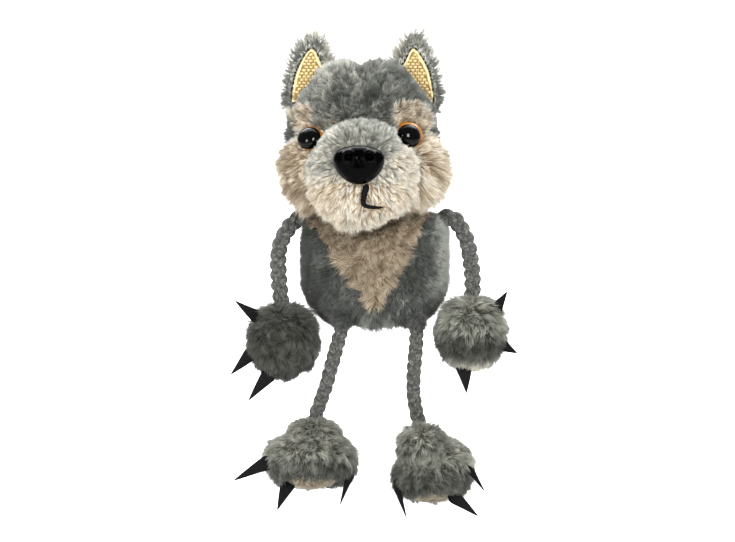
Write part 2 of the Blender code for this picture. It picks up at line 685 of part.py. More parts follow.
def paw_shell(name, paw, joint, segments, rings):
    """Plush shell of a paw, open where the cord goes in, with a sole where it has one."""
    bm = blob(paw["centre"], paw_reach(paw), segments, rings)
    up = (mm(joint) - mm(paw["centre"])).normalized()
    height = math.sqrt((Vector(joint) - Vector(paw["centre"])).length ** 2 - PAW_OPENING**2)
    bmesh.ops.bisect_plane(bm, geom=bm.verts[:] + bm.edges[:] + bm.faces[:], dist=1e-7,
                           plane_co=mm(paw["centre"]) + up * height * MM, plane_no=up,
                           clear_outer=True)
    seams = [((0, 0, paw.get("sole", -1000.0)), (0, SOLE_SLOPE, 1))]

    def panel_of(point):
        return name + ("_sole" if seam_side(point, seams[0]) < 0 else "_skin")

    colours = {name + "_skin": PAW_GREY}
    if "sole" in paw:
        colours[name + "_sole"] = CREAM
    sewn_panels(bm, paw["centre"], seams, panel_of, colours)


def claw(name, paw, kind, angle, tip, width):
    """Flat curved triangle that stands on the paw's wall."""
    centre = Vector(paw["centre"])
    turn = math.radians(angle)
    out = Vector((math.cos(turn), -CLAW_FORWARD[kind], math.sin(turn))).normalized()
    root = centre + out * paw_reach(paw)(out)
    normal = wall_normal(paw["centre"], paw_reach(paw), root)
    root = root + normal * CLAW_STAND
    end = Vector((tip[0], root.y - CLAW_REACH_FORWARD, tip[1]))
    along = end - root
    across = normal.cross(Vector((0, -1, 0))).normalized() * width / 2
    bend = across * CLAW_BEND
    right, left = [root - across], [root + across]
    for i in range(1, CLAW_STEPS):
        t = i / CLAW_STEPS
        middle = root + along * t + bend * 4 * t * (1 - t)
        right.append(middle - across * (1 - t))
        left.append(middle + across * (1 - t))
    outline = [root - across, *left, end, *reversed(right[1:])]
    flat = across.cross(along).normalized() * CLAW_THICKNESS / 2
    bm = bmesh.new()
    face = bm.faces.new([bm.verts.new((point - flat) * MM) for point in outline])
    pulled = bmesh.ops.extrude_face_region(bm, geom=[face])
    verts = [item for item in pulled["geom"] if isinstance(item, bmesh.types.BMVert)]
    bmesh.ops.translate(bm, verts=verts, vec=flat * 2 * MM)
    add_object(name, bm, BLACK, roughness=0.5, origin=root * MM)


def limb(kind, side):
    names = {"arm": ("shoulder_knot", "hand"), "leg": ("hip_knot", "foot")}
    knot_name, paw_name = names[kind]
    route = ROUTES[kind, side]
    radius = CORD_RADIUS[kind]
    root, bend, end = route["upper"][0], route["upper"][-1], route["lower"][-1]
    knot(f"{knot_name}_{side}", mm(root))
    cord(f"{kind}_cord_upper_{side}", route["upper"], radius, KNOT_RADIUS + KNOT_GAP, BEND_GAP, mm(root))
    cord(f"{kind}_cord_lower_{side}", route["lower"], radius, BEND_GAP, 0.0, mm(bend))
    paw = PAWS[kind, side]
    name = f"{paw_name}_{side}"
    size = (14, 9) if kind == "arm" else (16, 10)
    paw_shell(name, paw, end, *size)
    add_object(name + "_filling", blob(paw["centre"], paw_reach(paw), *size,
                                       SKIN / MM + FILLING_GAP), WHITE)
    for number, (angle, tip, width) in enumerate(CLAWS[kind, side], start=1):
        claw(f"{paw_name}_claw_{side}_{number}", paw, kind, angle, tip, width)


def main():
    clear_scene()
    body()
    neck()
    head()
    for kind in ("arm", "leg"):
        for side in ("right", "left"):
            limb(kind, side)


main()
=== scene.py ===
"""Looks of a plush wolf finger puppet: sewn skins with real pile, plaited limbs, moulded eyes and nose.

Shapes are worked out in millimetres, in the frame of the CAD model: the face looks along -Y and the
puppet's own left is at +X. They turn into metres when a mesh is made.
"""

import json
import math

import bmesh
import bpy
import numpy as np
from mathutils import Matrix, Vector, kdtree

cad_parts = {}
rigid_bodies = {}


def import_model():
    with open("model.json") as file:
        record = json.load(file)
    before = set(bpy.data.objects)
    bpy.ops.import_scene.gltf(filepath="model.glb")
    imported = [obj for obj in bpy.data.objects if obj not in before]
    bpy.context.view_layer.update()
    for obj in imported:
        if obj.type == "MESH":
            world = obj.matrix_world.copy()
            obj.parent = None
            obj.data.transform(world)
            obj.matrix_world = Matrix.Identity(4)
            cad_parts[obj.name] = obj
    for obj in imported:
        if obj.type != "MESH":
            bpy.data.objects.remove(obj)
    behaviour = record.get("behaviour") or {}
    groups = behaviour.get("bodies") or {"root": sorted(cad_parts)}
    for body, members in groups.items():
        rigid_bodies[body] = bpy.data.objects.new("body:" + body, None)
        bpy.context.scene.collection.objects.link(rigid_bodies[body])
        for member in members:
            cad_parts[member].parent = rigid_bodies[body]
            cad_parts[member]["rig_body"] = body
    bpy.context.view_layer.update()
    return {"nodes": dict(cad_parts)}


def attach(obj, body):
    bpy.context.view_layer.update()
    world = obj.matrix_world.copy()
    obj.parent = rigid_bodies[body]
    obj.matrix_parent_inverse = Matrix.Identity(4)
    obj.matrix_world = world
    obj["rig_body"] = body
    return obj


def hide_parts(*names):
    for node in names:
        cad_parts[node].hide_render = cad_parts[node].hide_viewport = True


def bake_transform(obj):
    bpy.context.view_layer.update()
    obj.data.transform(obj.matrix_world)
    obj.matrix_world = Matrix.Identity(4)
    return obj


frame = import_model()

MM = 0.001
SIDES = ("right", "left")
DOWN = np.array([0.0, 0.0, -1.0])
SKIN = 0.6  # thickness of a plush skin without its pile
BAKE_UV = "OFBake"

# Head, as in the CAD source: ellipsoids (centre, radii) blended round one inner point
HEAD_CENTRE = (-3.6, -10.0, 53.0)
HEAD_LOBES = [
    ((-3.6, 1.0, 60.6), (22.4, 19.0, 19.6)),
    ((-8.6, 0.0, 63.5), (13.0, 16.0, 17.0)),
    ((1.2, 0.0, 63.5), (13.0, 16.0, 17.0)),
    ((-15.0, -5.5, 48.8), (13.4, 13.0, 12.2)),
    ((8.0, -5.5, 48.8), (13.2, 13.0, 12.2)),
    ((-3.8, -18.6, 46.8), (16.3, 13.8, 15.8)),
]
SNOUT_LOBE = 5
HEAD_BLEND = 0.8
HEAD_SIDE_SEAM_Y = 3.0
BROW_SEAM_Z = 63.0
FACE_SEAM_X = -3.9
SNOUT_BASE_Z = 43.5
SNOUT_CORNERS = ((-18.6, 55.0), (12.4, 54.4))
SNOUT_HALF_APEX = 5.0
EYE_PLACES = {"right": (-18.9, 57.2), "left": (10.0, 58.0)}
EYE_RADIUS, EYE_LOOK = 4.2, 0.6
NOSE_PLACE, NOSE_LOOK = (-4.8, 49.2), 0.5
NOSE_HALF_WIDTH, NOSE_HALF_HEIGHT, NOSE_DEPTH = 7.4, 5.2, 4.6
MOUTH_ROUTE = [(-2.4, 43.2), (-3.2, 40.4), (-3.3, 37.6), (-0.8, 36.8), (2.1, 36.8)]

# Body, as in the CAD source
BODY_CENTRE = (0.0, 1.0, 17.6)
BODY_RADII = (21.8, 13.6, 17.6)
TOP_POWER, SHOULDER_POWER = 3.3, 3.8
HEM_POWER, FRONT_HEM_POWER = 2.4, 1.2
BODY_SIDE_SEAM_Y = 5.0
BIB_POINT = (0.1, 5.9)
BIB_CORNERS = ((-18.6, 31.6), (14.9, 32.6))
POCKET_HALF_WIDTH, POCKET_HALF_DEPTH, POCKET_POWER, POCKET_HEIGHT = 8.8, 8.0, 3.0, 31.5
LINING = 0.7
NECK = (-1.8, 1.5, 38.3)

# Ears: outlines (x, z) of the plush and of the embroidered patch
EAR_Y = 4.1
EARS = {
    "right": dict(outline=[(-27.2, 66.0), (-26.2, 78.0), (-23.0, 86.0), (-19.6, 90.0),
                           (-16.2, 87.0), (-13.2, 81.5), (-10.4, 76.0), (-13.0, 64.0)],
                  inner=[(-24.9, 69.0), (-23.6, 77.5), (-19.4, 84.8), (-16.6, 80.6), (-15.4, 77.0),
                         (-20.2, 72.4)]),
    "left": dict(outline=[(19.8, 66.0), (18.9, 78.0), (15.6, 86.0), (12.2, 90.0),
                          (8.8, 87.0), (5.8, 81.5), (3.0, 76.0), (6.0, 64.0)],
                 inner=[(17.3, 69.0), (16.2, 77.5), (12.0, 84.8), (9.5, 81.2), (8.0, 77.4),
                        (12.8, 72.4)]),
}

# Limbs: each cord runs from its joint at the seam to the joint at its bend, then on to the paw
CORD_RADIUS = {"arm": 2.6, "leg": 2.25}
ROUTES = {
    ("arm", "right"): dict(upper=[(-21.6, 0.0, 34.7), (-24.4, -0.6, 32.6), (-27.2, -1.2, 29.0),
                                  (-28.8, -2.0, 25.0), (-29.2, -2.8, 21.0)],
                           lower=[(-29.2, -2.8, 21.0), (-29.0, -4.0, 16.5), (-28.6, -5.2, 12.0),
                                  (-28.2, -6.2, 8.2)]),
    ("arm", "left"): dict(upper=[(21.4, 0.0, 34.9), (24.2, -0.6, 33.2), (26.2, -1.2, 30.2),
                                 (27.8, -2.0, 26.4), (28.6, -2.8, 22.2)],
                          lower=[(28.6, -2.8, 22.2), (29.2, -4.0, 18.0), (29.4, -5.2, 14.0),
                                 (29.2, -6.2, 10.4)]),
    ("leg", "right"): dict(upper=[(-10.0, -9.4, 0.6), (-11.0, -9.4, -3.2), (-12.2, -9.2, -7.6),
                                  (-13.4, -9.0, -12.0)],
                           lower=[(-13.4, -9.0, -12.0), (-14.6, -8.8, -16.4), (-16.2, -8.6, -21.0),
                                  (-17.8, -8.6, -25.8)]),
    ("leg", "left"): dict(upper=[(12.4, -9.2, 0.4), (12.3, -9.4, -4.0), (11.9, -9.4, -9.0),
                                 (11.6, -9.2, -13.4)],
                          lower=[(11.6, -9.2, -13.4), (11.5, -9.0, -18.6), (12.2, -8.8, -23.6),
                                 (13.4, -8.6, -28.4)]),
}
PAWS = {
    ("arm", "right"): dict(centre=(-27.5, -7.0, -3.2), lobes=[((0, 0, 0), (10.9, 10.4, 11.3))]),
    ("arm", "left"): dict(centre=(28.8, -7.0, -0.9), lobes=[((0, 0, 0), (10.9, 10.4, 11.2))]),
    ("leg", "right"): dict(centre=(-18.6, -9.6, -36.2), sole=-45.0,
                           lobes=[((-0.6, -1.4, -2.8), (14.0, 12.0, 9.2)),
                                  ((0.4, 0.6, 2.4), (9.0, 8.8, 8.4))]),
    ("leg", "left"): dict(centre=(15.6, -9.6, -38.6), sole=-49.0,
                          lobes=[((1.8, -1.4, -4.2), (12.2, 11.8, 9.6)),
                                 ((-1.2, 0.4, 2.6), (7.8, 8.2, 8.0))]),
}
PAW_BLEND = 0.6
SOLE_SLOPE = 0.25
SOLE_DROP = 3.2  # the upper's pile grows this far below the sole's seam
PAW_NAMES = {"arm": "hand", "leg": "foot"}
KNOT_NAMES = {"arm": "shoulder_knot", "leg": "hip_knot"}

# Colours, as sRGB bytes. A palette runs along u of the pile's map, from 0 to 1
GREY_CREAM = [(0.0, (58, 61, 58)), (0.2, (98, 101, 96)), (0.4, (156, 158, 149)),
              (0.56, (206, 205, 195)), (0.7, (230, 221, 202)), (0.84, (182, 169, 147)),
              (1.0, (122, 106, 84))]
BODY_GREYS = [(0.0, (76, 78, 74)), (0.5, (108, 111, 107)), (1.0, (190, 193, 184))]
TAUPES = [(0.0, (116, 105, 90)), (0.5, (160, 148, 128)), (1.0, (208, 197, 174))]
PAW_GREYS = [(0.0, (66, 68, 62)), (0.35, (102, 104, 98)), (0.65, (156, 158, 147)),
             (0.85, (200, 201, 188)), (1.0, (228, 219, 198))]
SOLE_BEIGES = [(0.0, (168, 158, 140)), (0.5, (206, 197, 178)), (1.0, (230, 223, 208))]
EAR_GREYS = [(0.0, (92, 95, 90)), (0.5, (146, 149, 141)), (1.0, (226, 228, 215))]
DARK, MID, LIGHT, IVORY, CREAM = 0.04, 0.2, 0.4, 0.7, 0.84  # places on GREY_CREAM


# ---------------------------------------------------------------- numbers

def unit(vectors):
    return vectors / np.maximum(np.linalg.norm(vectors, axis=-1, keepdims=True), 1e-9)


def dot(a, b):
    return np.sum(a * b, axis=-1)


def ease(value, low, high):
    """0 below low, 1 above high, smooth between."""
    t = np.clip((value - low) / (np.asarray(high) - low), 0.0, 1.0)
    return t * t * (3 - 2 * t)


def mixed(a, b, share):
    """a where share is 0, b where it is 1."""
    return a * (1 - share) + b * share


def within(points, centre, radii):
    """1 inside an (x, z) ellipse, falling softly to 0 at its rim."""
    away = np.hypot((points[:, 0] - centre[0]) / radii[0], (points[:, 2] - centre[1]) / radii[1])
    return 1.0 - ease(away, 0.75, 1.05)


def wobble(seed, size):
    """A smooth random function of place, from about -1 to 1, whose waves are about size long."""
    rng = np.random.default_rng(seed)
    waves = unit(rng.normal(size=(9, 3))) * rng.uniform(0.6, 1.8, (9, 1)) * 2 * math.pi / size
    phases = rng.uniform(0, 2 * math.pi, 9)
    return lambda points: np.sin(points @ waves.T + phases).sum(axis=1) / 3.6


# ---------------------------------------------------------------- stuffed forms

def lobed(centre, lobes, blend):
    """Reach of ellipsoids that are blended round one inner point. Lobe centres are offsets from it."""
    offsets = np.array([lobe[0] for lobe in lobes], float)
    radii = np.array([lobe[1] for lobe in lobes], float)

    def reaches(directions):
        d = directions[:, None, :]
        a = np.sum((d / radii) ** 2, axis=2)
        b = np.sum(d * offsets / radii**2, axis=2)
        c = np.sum((offsets / radii) ** 2, axis=1) - 1.0
        return (b + np.sqrt(np.maximum(b * b - a * c, 0.0))) / a

    def reach(directions):
        return blend * np.log(np.exp(reaches(directions) / blend).sum(axis=1))

    return Form(centre, reach, reaches)


class Form:
    """A stuffed shape whose wall lies at reach(direction) from an inner point."""

    def __init__(self, centre, reach, parts=None):
        self.centre = np.array(centre, float)
        self.reach = reach
        self.parts = parts

    def wall(self, directions, inset=0.0):
        return self.centre + directions * (self.reach(directions) - inset)[:, None]

    def front(self, x, z, inset=0.0):
        """Front wall point at the given x and z, and the outward normal there."""
        near, far = 0.0, 60.0
        for _ in range(40):
            depth = (near + far) / 2
            offset = np.array([[x - self.centre[0], -depth, z - self.centre[2]]])
            inside = np.linalg.norm(offset) < self.reach(unit(offset))[0] - inset
            near, far = (depth, far) if inside else (near, depth)
        point = np.array([x, self.centre[1] - near, z])
        return point, self.normal(point)

    def normal(self, point):
        def outside(place):
            offset = (place - self.centre)[None]
            return np.linalg.norm(offset) - self.reach(unit(offset))[0]

        step = np.eye(3) * 0.05
        return unit(np.array([outside(point + s) - outside(point - s) for s in step]))


def body_reach(directions):
    across = np.maximum(directions[:, 0] ** 2 + directions[:, 1] ** 2, 1e-9)
    top = TOP_POWER + SHOULDER_POWER * (directions[:, 0] ** 2 / across) ** 2
    hem = HEM_POWER + FRONT_HEM_POWER * directions[:, 1] ** 2 / across
    power = np.where(directions[:, 2] > 0, top, hem)
    level = np.hypot(directions[:, 0] / BODY_RADII[0], directions[:, 1] / BODY_RADII[1])
    return (level**power + np.abs(directions[:, 2] / BODY_RADII[2]) ** power) ** (-1.0 / power)


HEAD = lobed(HEAD_CENTRE, [(np.subtract(centre, HEAD_CENTRE), radii) for centre, radii in HEAD_LOBES],
             HEAD_BLEND)
BODY = Form(BODY_CENTRE, body_reach)


# ---------------------------------------------------------------- meshes

def add_object(name, data):
    obj = bpy.data.objects.new(name, data)
    bpy.context.scene.collection.objects.link(obj)
    return obj


def add_mesh(name, verts, faces, material, uv=None, normals=None):
    """A mesh object from arrays: verts in millimetres, faces all with the same number of corners."""
    verts, faces = np.asarray(verts, float), np.asarray(faces)
    corners = faces.shape[1]
    mesh = bpy.data.meshes.new(name)
    mesh.vertices.add(len(verts))
    mesh.vertices.foreach_set("co", (verts * MM).astype(np.float32).ravel())
    mesh.loops.add(faces.size)
    mesh.loops.foreach_set("vertex_index", faces.astype(np.int32).ravel())
    mesh.polygons.add(len(faces))
    mesh.polygons.foreach_set("loop_start", np.arange(0, faces.size, corners, dtype=np.int32))
    mesh.polygons.foreach_set("use_smooth", np.ones(len(faces), bool))
    mesh.update(calc_edges=True)
    if uv is not None:
        layer = mesh.uv_layers.new(name=BAKE_UV)
        layer.data.foreach_set("uv", uv.astype(np.float32).ravel())
    if normals is not None:
        mesh.normals_split_custom_set_from_vertices(normals.astype(np.float32))
    mesh.materials.append(material)
    return add_object(name, mesh)


def finish_piece(piece, body, slot, node=None):
    """Attach the piece to the body it rides on and, for a stand-in, hide the CAD node; slot is not
    used.
    """
    if node:
        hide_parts(node)
    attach(piece, body)


def vertex_normals(verts, tris):
    corners = verts[tris]
    face = np.cross(corners[:, 1] - corners[:, 0], corners[:, 2] - corners[:, 0])
    total = np.zeros_like(verts)
    for k in range(3):
        np.add.at(total, tris[:, k], face)
    return unit(total)


class Surface:
    """An open or closed sheet of triangles with a normal at each vertex."""

    def __init__(self, verts, tris):
        self.verts, self.tris = verts, tris
        self.normals = vertex_normals(verts, tris)

    def roots(self, density, seed):
        """Random points on the sheet, density to a square millimetre, with their normals."""
        rng = np.random.default_rng(seed)
        corners = self.verts[self.tris]
        area = np.linalg.norm(np.cross(corners[:, 1] - corners[:, 0], corners[:, 2] - corners[:, 0]),
                              axis=1) / 2
        count = int(area.sum() * density)
        chosen = rng.choice(len(area), count, p=area / area.sum())
        a, b = rng.random((2, count, 1))
        a, b = np.where(a + b > 1, 1 - a, a), np.where(a + b > 1, 1 - b, b)
        c = 1 - a - b
        p, n = self.verts[self.tris[chosen]], self.normals[self.tris[chosen]]
        return (p[:, 0] * a + p[:, 1] * b + p[:, 2] * c,
                unit(n[:, 0] * a + n[:, 1] * b + n[:, 2] * c))


def rim_edges(tris):
    """Directed edges that belong to only one triangle."""
    edges = np.concatenate([tris[:, [0, 1]], tris[:, [1, 2]], tris[:, [2, 0]]])
    keys = np.sort(edges, axis=1)
    _, where, counts = np.unique(keys, axis=0, return_inverse=True, return_counts=True)
    return edges[counts[where.ravel()] == 1]


def near_rim(surface, reach):
    """How near each vertex is to the sheet's rim: 1 on it, 0 at reach or further."""
    rim = np.unique(rim_edges(surface.tris))
    if len(rim) == 0:
        return np.zeros(len(surface.verts))
    tree = kdtree.KDTree(len(rim))
    for i, index in enumerate(rim):
        tree.insert(surface.verts[index], i)
    tree.balance()
    away = np.array([tree.find(v)[2] for v in surface.verts])
    return 1.0 - ease(away, 0.0, reach)


def closed_shell(front, back, tris):
    """A closed shell from a sheet's front and back points, joined round its rim."""
    count = len(front)
    a, b = rim_edges(tris).T
    walls = np.concatenate([np.stack([b, a, a + count], 1), np.stack([b, a + count, b + count], 1)])
    return np.concatenate([front, back]), np.concatenate([tris, tris[:, ::-1] + count, walls])


def add_skin(name, surface, material):
    """A sheet thickened inwards into a closed shell."""
    inner = surface.verts - surface.normals * SKIN
    return add_mesh(name, *closed_shell(surface.verts, inner, surface.tris), material)


def grid_tris(rows, count, closed=True):
    """Triangles between neighbouring rows of count points, joined round each row if closed."""
    k = np.arange(count if closed else count - 1)
    starts = np.arange(rows - 1)[:, None] * count
    a, b = (starts + k).ravel(), (starts + (k + 1) % count).ravel()
    return np.concatenate([np.stack([a, a + count, b + count], 1), np.stack([a, b + count, b], 1)])


def cap(middle, row):
    """Triangles from a middle vertex to a closed row of vertices."""
    return np.stack([np.full(len(row), middle), row, np.roll(row, -1)], 1)


def lathe(rows, ends):
    """Closed form through equal rows of points, with a point at each end."""
    rows = np.asarray(rows)
    levels, count = rows.shape[:2]
    verts = np.concatenate([rows.reshape(-1, 3), ends])
    row = np.arange(count)
    return verts, np.concatenate([grid_tris(levels, count), cap(len(verts) - 2, row),
                                  cap(len(verts) - 1, row + (levels - 1) * count)[:, ::-1]])


def joined(parts):
    """Several (points, triangles) as one."""
    starts = np.cumsum([0] + [len(verts) for verts, _ in parts[:-1]])
    return (np.concatenate([verts for verts, _ in parts]),
            np.concatenate([tris + start for (_, tris), start in zip(parts, starts)]))


def taken_arrays(bm):
    """The points and triangles of a bmesh, which is freed."""
    bmesh.ops.triangulate(bm, faces=bm.faces[:])
    bm.verts.index_update()
    verts = np.array([v.co for v in bm.verts])
    tris = np.array([[v.index for v in f.verts] for f in bm.faces])
    bm.free()
    return verts, tris


def ball_mesh(form, inset, planes, level):
    """Arrays of a round form's wall, cut along the given planes (point, normal)."""
    bm = bmesh.new()
    bmesh.ops.create_icosphere(bm, subdivisions=level, radius=1.0)
    directions = unit(np.array([v.co for v in bm.verts]))
    for vert, place in zip(bm.verts, form.wall(directions, inset)):
        vert.co = place
    for point, normal in planes:
        bmesh.ops.bisect_plane(bm, geom=bm.verts[:] + bm.edges[:] + bm.faces[:], dist=1e-4,
                               plane_co=point, plane_no=normal)
    return taken_arrays(bm)


def sewn_panels(form, inset, planes, panel_of, names, groove):
    """The form's wall as one sheet for each panel name, pulled in along the seams."""
    verts, tris = ball_mesh(form, inset, planes, level=6)
    panel = panel_of(verts[tris].mean(axis=1))
    sheets = {}
    for name in names:
        own = tris[panel == name]
        used, index = np.unique(own, return_inverse=True)
        sheet = Surface(verts[used], index.reshape(own.shape))
        sheet.verts = sheet.verts - sheet.normals * (near_rim(sheet, 2.0) * groove)[:, None]
        sheets[name] = Surface(sheet.verts, sheet.tris)
    return sheets


# ---------------------------------------------------------------- pile

SPIKE = np.array([(0, 2, 1), (0, 1, 3), (1, 2, 3), (2, 0, 3)])
STRAND = np.array([(0, 2, 1)] + [tri for k, n in ((0, 1), (1, 2), (2, 0)) for tri in
                                 ((k, n, 3 + n), (k, 3 + n, 3 + k), (3 + k, 3 + n, 6))])
ROOT_DEPTH = 0.25  # how far a strand's root lies in the skin
TINT_WIDTH = 0.012  # how much the three sides of a strand differ in tint
TUFT_TINT = 0.065  # how much whole tufts differ in tint


def around(points, axis_from, normals):
    """Direction along the skin that leads away from a point."""
    away = points - np.asarray(axis_from, float)
    return unit(away - normals * dot(away, normals)[:, None])


def grow(name, roots, normals, flow, length, tint, material, seed, lean=55.0, width=0.13, tuft=1.3,
         gather=0.45, swirl=0.35, short=False):
    """Pile as closed tapered strands. Neighbours lean together in tufts about tuft wide."""
    rng = np.random.default_rng(seed)
    count = len(roots)
    length = np.broadcast_to(length, count) * rng.uniform(0.72, 1.12, count)
    length = length * np.where(rng.random(count) < 0.06, 1.35, 1.0)
    along = unit(flow - normals * dot(flow, normals)[:, None])
    turn = swirl * (wobble(seed + 1, 5.0)(roots) * 1.6 + rng.normal(0, 0.6, count))
    side = np.cross(normals, along)
    along = along * np.cos(turn)[:, None] + side * np.sin(turn)[:, None]
    tilt = np.radians(np.broadcast_to(lean, count) * (1 + 0.22 * wobble(seed + 2, 3.0)(roots))
                      + rng.normal(0, 9, count))
    tilt = np.clip(tilt, 0.05, 1.35)
    start = unit(normals * np.cos(tilt * 0.7)[:, None] + along * np.sin(tilt * 0.7)[:, None])
    end = unit(normals * np.cos(tilt * 1.15)[:, None] + along * np.sin(tilt * 1.15)[:, None])
    middle = roots + start * (length * 0.5)[:, None]
    tip = middle + end * (length * 0.5)[:, None]
    middle, tip, leader = gather_tufts(roots, middle, tip, tuft, gather, rng)
    tint = tint + rng.normal(0, 0.055, count) + rng.normal(0, TUFT_TINT, count)[leader]
    tint = np.clip(tint, 0.02, 0.98)

    sunk = roots - normals * ROOT_DEPTH
    across = unit(np.cross(start, rng.normal(size=(count, 3))))
    other = np.cross(start, across)
    angles = np.arange(3) * 2 * math.pi / 3
    ring = (across[:, None] * np.cos(angles)[None, :, None]
            + other[:, None] * np.sin(angles)[None, :, None])
    girth = width * rng.uniform(0.75, 1.25, count)[:, None, None]
    soft = unit(ring * 0.45 + normals[:, None])
    if short:
        verts = np.concatenate([sunk[:, None] + ring * girth, tip[:, None]], axis=1)
        shading = np.concatenate([soft, unit(normals + end * 0.4)[:, None]], axis=1)
        template, heights = SPIKE, np.array([0, 0, 0, 1.0])
    else:
        verts = np.concatenate([sunk[:, None] + ring * girth, middle[:, None] + ring * girth * 0.8,
                                tip[:, None]], axis=1)
        shading = np.concatenate([soft, soft, unit(normals + end * 0.4)[:, None]], axis=1)
        template, heights = STRAND, np.array([0, 0, 0, 0.5, 0.5, 0.5, 1.0])
    per = verts.shape[1]
    faces = (template[None] + (np.arange(count) * per)[:, None, None]).reshape(-1, 3)
    offsets = np.resize((np.arange(per) % 3 - 1.0) * TINT_WIDTH, per)
    u = tint[:, None] + offsets[None]
    uv = np.stack([u, np.broadcast_to(heights, u.shape)], axis=2)
    uv = uv[:, template].reshape(-1, 2)
    return add_mesh(name, verts.reshape(-1, 3), faces, material, uv, shading.reshape(-1, 3))


def gather_tufts(roots, middle, tip, tuft, gather, rng):
    """Pull the strands round each of some chosen ones towards it, more at the tip."""
    chosen = rng.choice(len(roots), max(1, int(len(roots) / max(4.0, 9.0 * tuft**2))), replace=False)
    tree = kdtree.KDTree(len(chosen))
    for i, index in enumerate(chosen):
        tree.insert(roots[index], i)
    tree.balance()
    leader = chosen[[tree.find(p)[1] for p in roots]]
    pull = gather * rng.uniform(0.4, 1.2, len(roots))[:, None]
    tip = tip + (tip[leader] - tip) * pull
    middle = middle + (middle[leader] - middle) * pull * 0.45
    return middle, tip, leader


# ---------------------------------------------------------------- materials

def linear(colour):
    """An sRGB byte colour as linear light."""
    return [(c / 255 / 12.92 if c < 11 else ((c / 255 + 0.055) / 1.055) ** 2.4) for c in colour]


class Look:
    """A Principled material with short ways to add and join its nodes."""

    def __init__(self, name, colour, roughness, specular=0.5, sheen=0.0):
        self.material = bpy.data.materials.new(name)
        self.material.use_nodes = True
        self.nodes = self.material.node_tree.nodes
        self.links = self.material.node_tree.links
        self.shader = self.nodes["Principled BSDF"]
        self.shader.inputs["Base Color"].default_value = (*linear(colour), 1.0)
        self.shader.inputs["Roughness"].default_value = roughness
        self.shader.inputs["Specular IOR Level"].default_value = specular
        self.shader.inputs["Sheen Weight"].default_value = sheen
        self.shader.inputs["Sheen Roughness"].default_value = 0.45

    def node(self, kind, **values):
        made = self.nodes.new("ShaderNode" + kind)
        for key, value in values.items():
            setattr(made, key, value)
        return made

    def join(self, source, target):
        self.links.new(source, target)

    def place(self):
        """Object coordinates in millimetres."""
        coordinates = self.node("TexCoord")
        mapping = self.node("Mapping")
        mapping.inputs["Scale"].default_value = [1.0 / MM] * 3
        self.join(coordinates.outputs["Object"], mapping.inputs["Vector"])
        return mapping.outputs["Vector"]

    def noise(self, scale, detail=3.0):
        made = self.node("TexNoise")
        made.inputs["Scale"].default_value = scale
        made.inputs["Detail"].default_value = detail
        self.join(self.place(), made.inputs["Vector"])
        return made.outputs["Fac"]

    def ramp(self, source, stops):
        made = self.node("ValToRGB")
        elements = made.color_ramp.elements
        while len(elements) < len(stops):
            elements.new(0.5)
        for element, (position, colour) in zip(elements, stops):
            element.position = position
            element.color = (*linear(colour), 1.0)
        self.join(source, made.inputs["Fac"])
        return made.outputs["Color"]

    def mix(self, a, b, blend="MULTIPLY", amount=1.0):
        made = self.node("Mix", data_type="RGBA", blend_type=blend)
        made.inputs["Factor"].default_value = amount
        self.join(a, made.inputs["A"])
        self.join(b, made.inputs["B"])
        return made.outputs["Result"]

    def colour(self, source):
        self.join(source, self.shader.inputs["Base Color"])

    def rough(self, source, low, high):
        spread = self.node("MapRange")
        spread.inputs["To Min"].default_value = low
        spread.inputs["To Max"].default_value = high
        self.join(source, spread.inputs["Value"])
        self.join(spread.outputs["Result"], self.shader.inputs["Roughness"])

    def bump(self, source, depth, strength=0.6):
        made = self.node("Bump")
        made.inputs["Strength"].default_value = strength
        made.inputs["Distance"].default_value = depth * MM
        self.join(source, made.inputs["Height"])
        self.join(made.outputs["Normal"], self.shader.inputs["Normal"])


def pile_look(name, palette, root=(112, 104, 98), middle=(190, 187, 184)):
    """Colour across u from the palette, darker towards the roots along v: partly the fibres' own darker
    roots, partly painted shade deep in the pile.
    """
    look = Look(name, palette[0][1], 0.8, specular=0.1, sheen=0.12)
    split = look.node("SeparateXYZ")
    look.join(look.node("UVMap", uv_map=BAKE_UV).outputs["UV"], split.inputs["Vector"])
    tints = look.ramp(split.outputs["X"], palette)
    # painted shade: the pile darkens from its tips down to its roots
    painted_root_shade = look.ramp(split.outputs["Y"], [(0.0, root), (0.45, middle), (0.9, (255, 255, 255))])
    look.colour(look.mix(tints, painted_root_shade))
    return look.material


# For each kind of cloth: roughness, specular and sheen; scale, detail and the two stops of its
# clouding; scale, detail, depth and strength of its relief
CLOTHS = {
    "backing": ((0.95, 0.1, 0.0), (0.8, 3.0, 0.3, 0.7), (3.0, 1.0, 0.15, 0.6)),
    "felt": ((0.7, 0.1, 0.0), (2.4, 6.0, 0.35, 0.75), (5.0, 4.0, 0.12, 0.5)),
    "satin": ((0.42, 0.5, 0.2), (1.6, 3.0, 0.3, 0.62), (9.0, 2.0, 0.06, 0.5)),
    "fibre": ((0.95, 0.1, 0.4), (1.4, 6.0, 0.3, 0.7), (2.6, 5.0, 0.4, 0.6)),
}


def cloth_look(kind, name, dark, light, base=None):
    """Cloth or fibre in two tones, with the clouding and the relief of its kind."""
    finish, (scale, detail, low, high), (fine, fine_detail, depth, strength) = CLOTHS[kind]
    look = Look(name, base or dark, *finish)
    look.colour(look.ramp(look.noise(scale, detail), [(low, dark), (high, light)]))
    look.bump(look.noise(fine, fine_detail), depth, strength)
    return look.material


def backing_look(name, dark, light):
    """Knitted ground of the plush, seen between the strands, coloured darker than the pile as painted
    shade in the gaps.
    """
    return cloth_look("backing", name, dark, light)


def moulded_look(name, colours, roughness, specular):
    """Glossy moulded plastic with faint clouding and handling marks."""
    look = Look(name, colours[0], roughness, specular)
    look.colour(look.ramp(look.noise(0.35), [(0.3, colours[0]), (0.7, colours[1])]))
    look.rough(look.noise(1.2, 4.0), roughness * 0.7, roughness * 1.8)
    return look.material


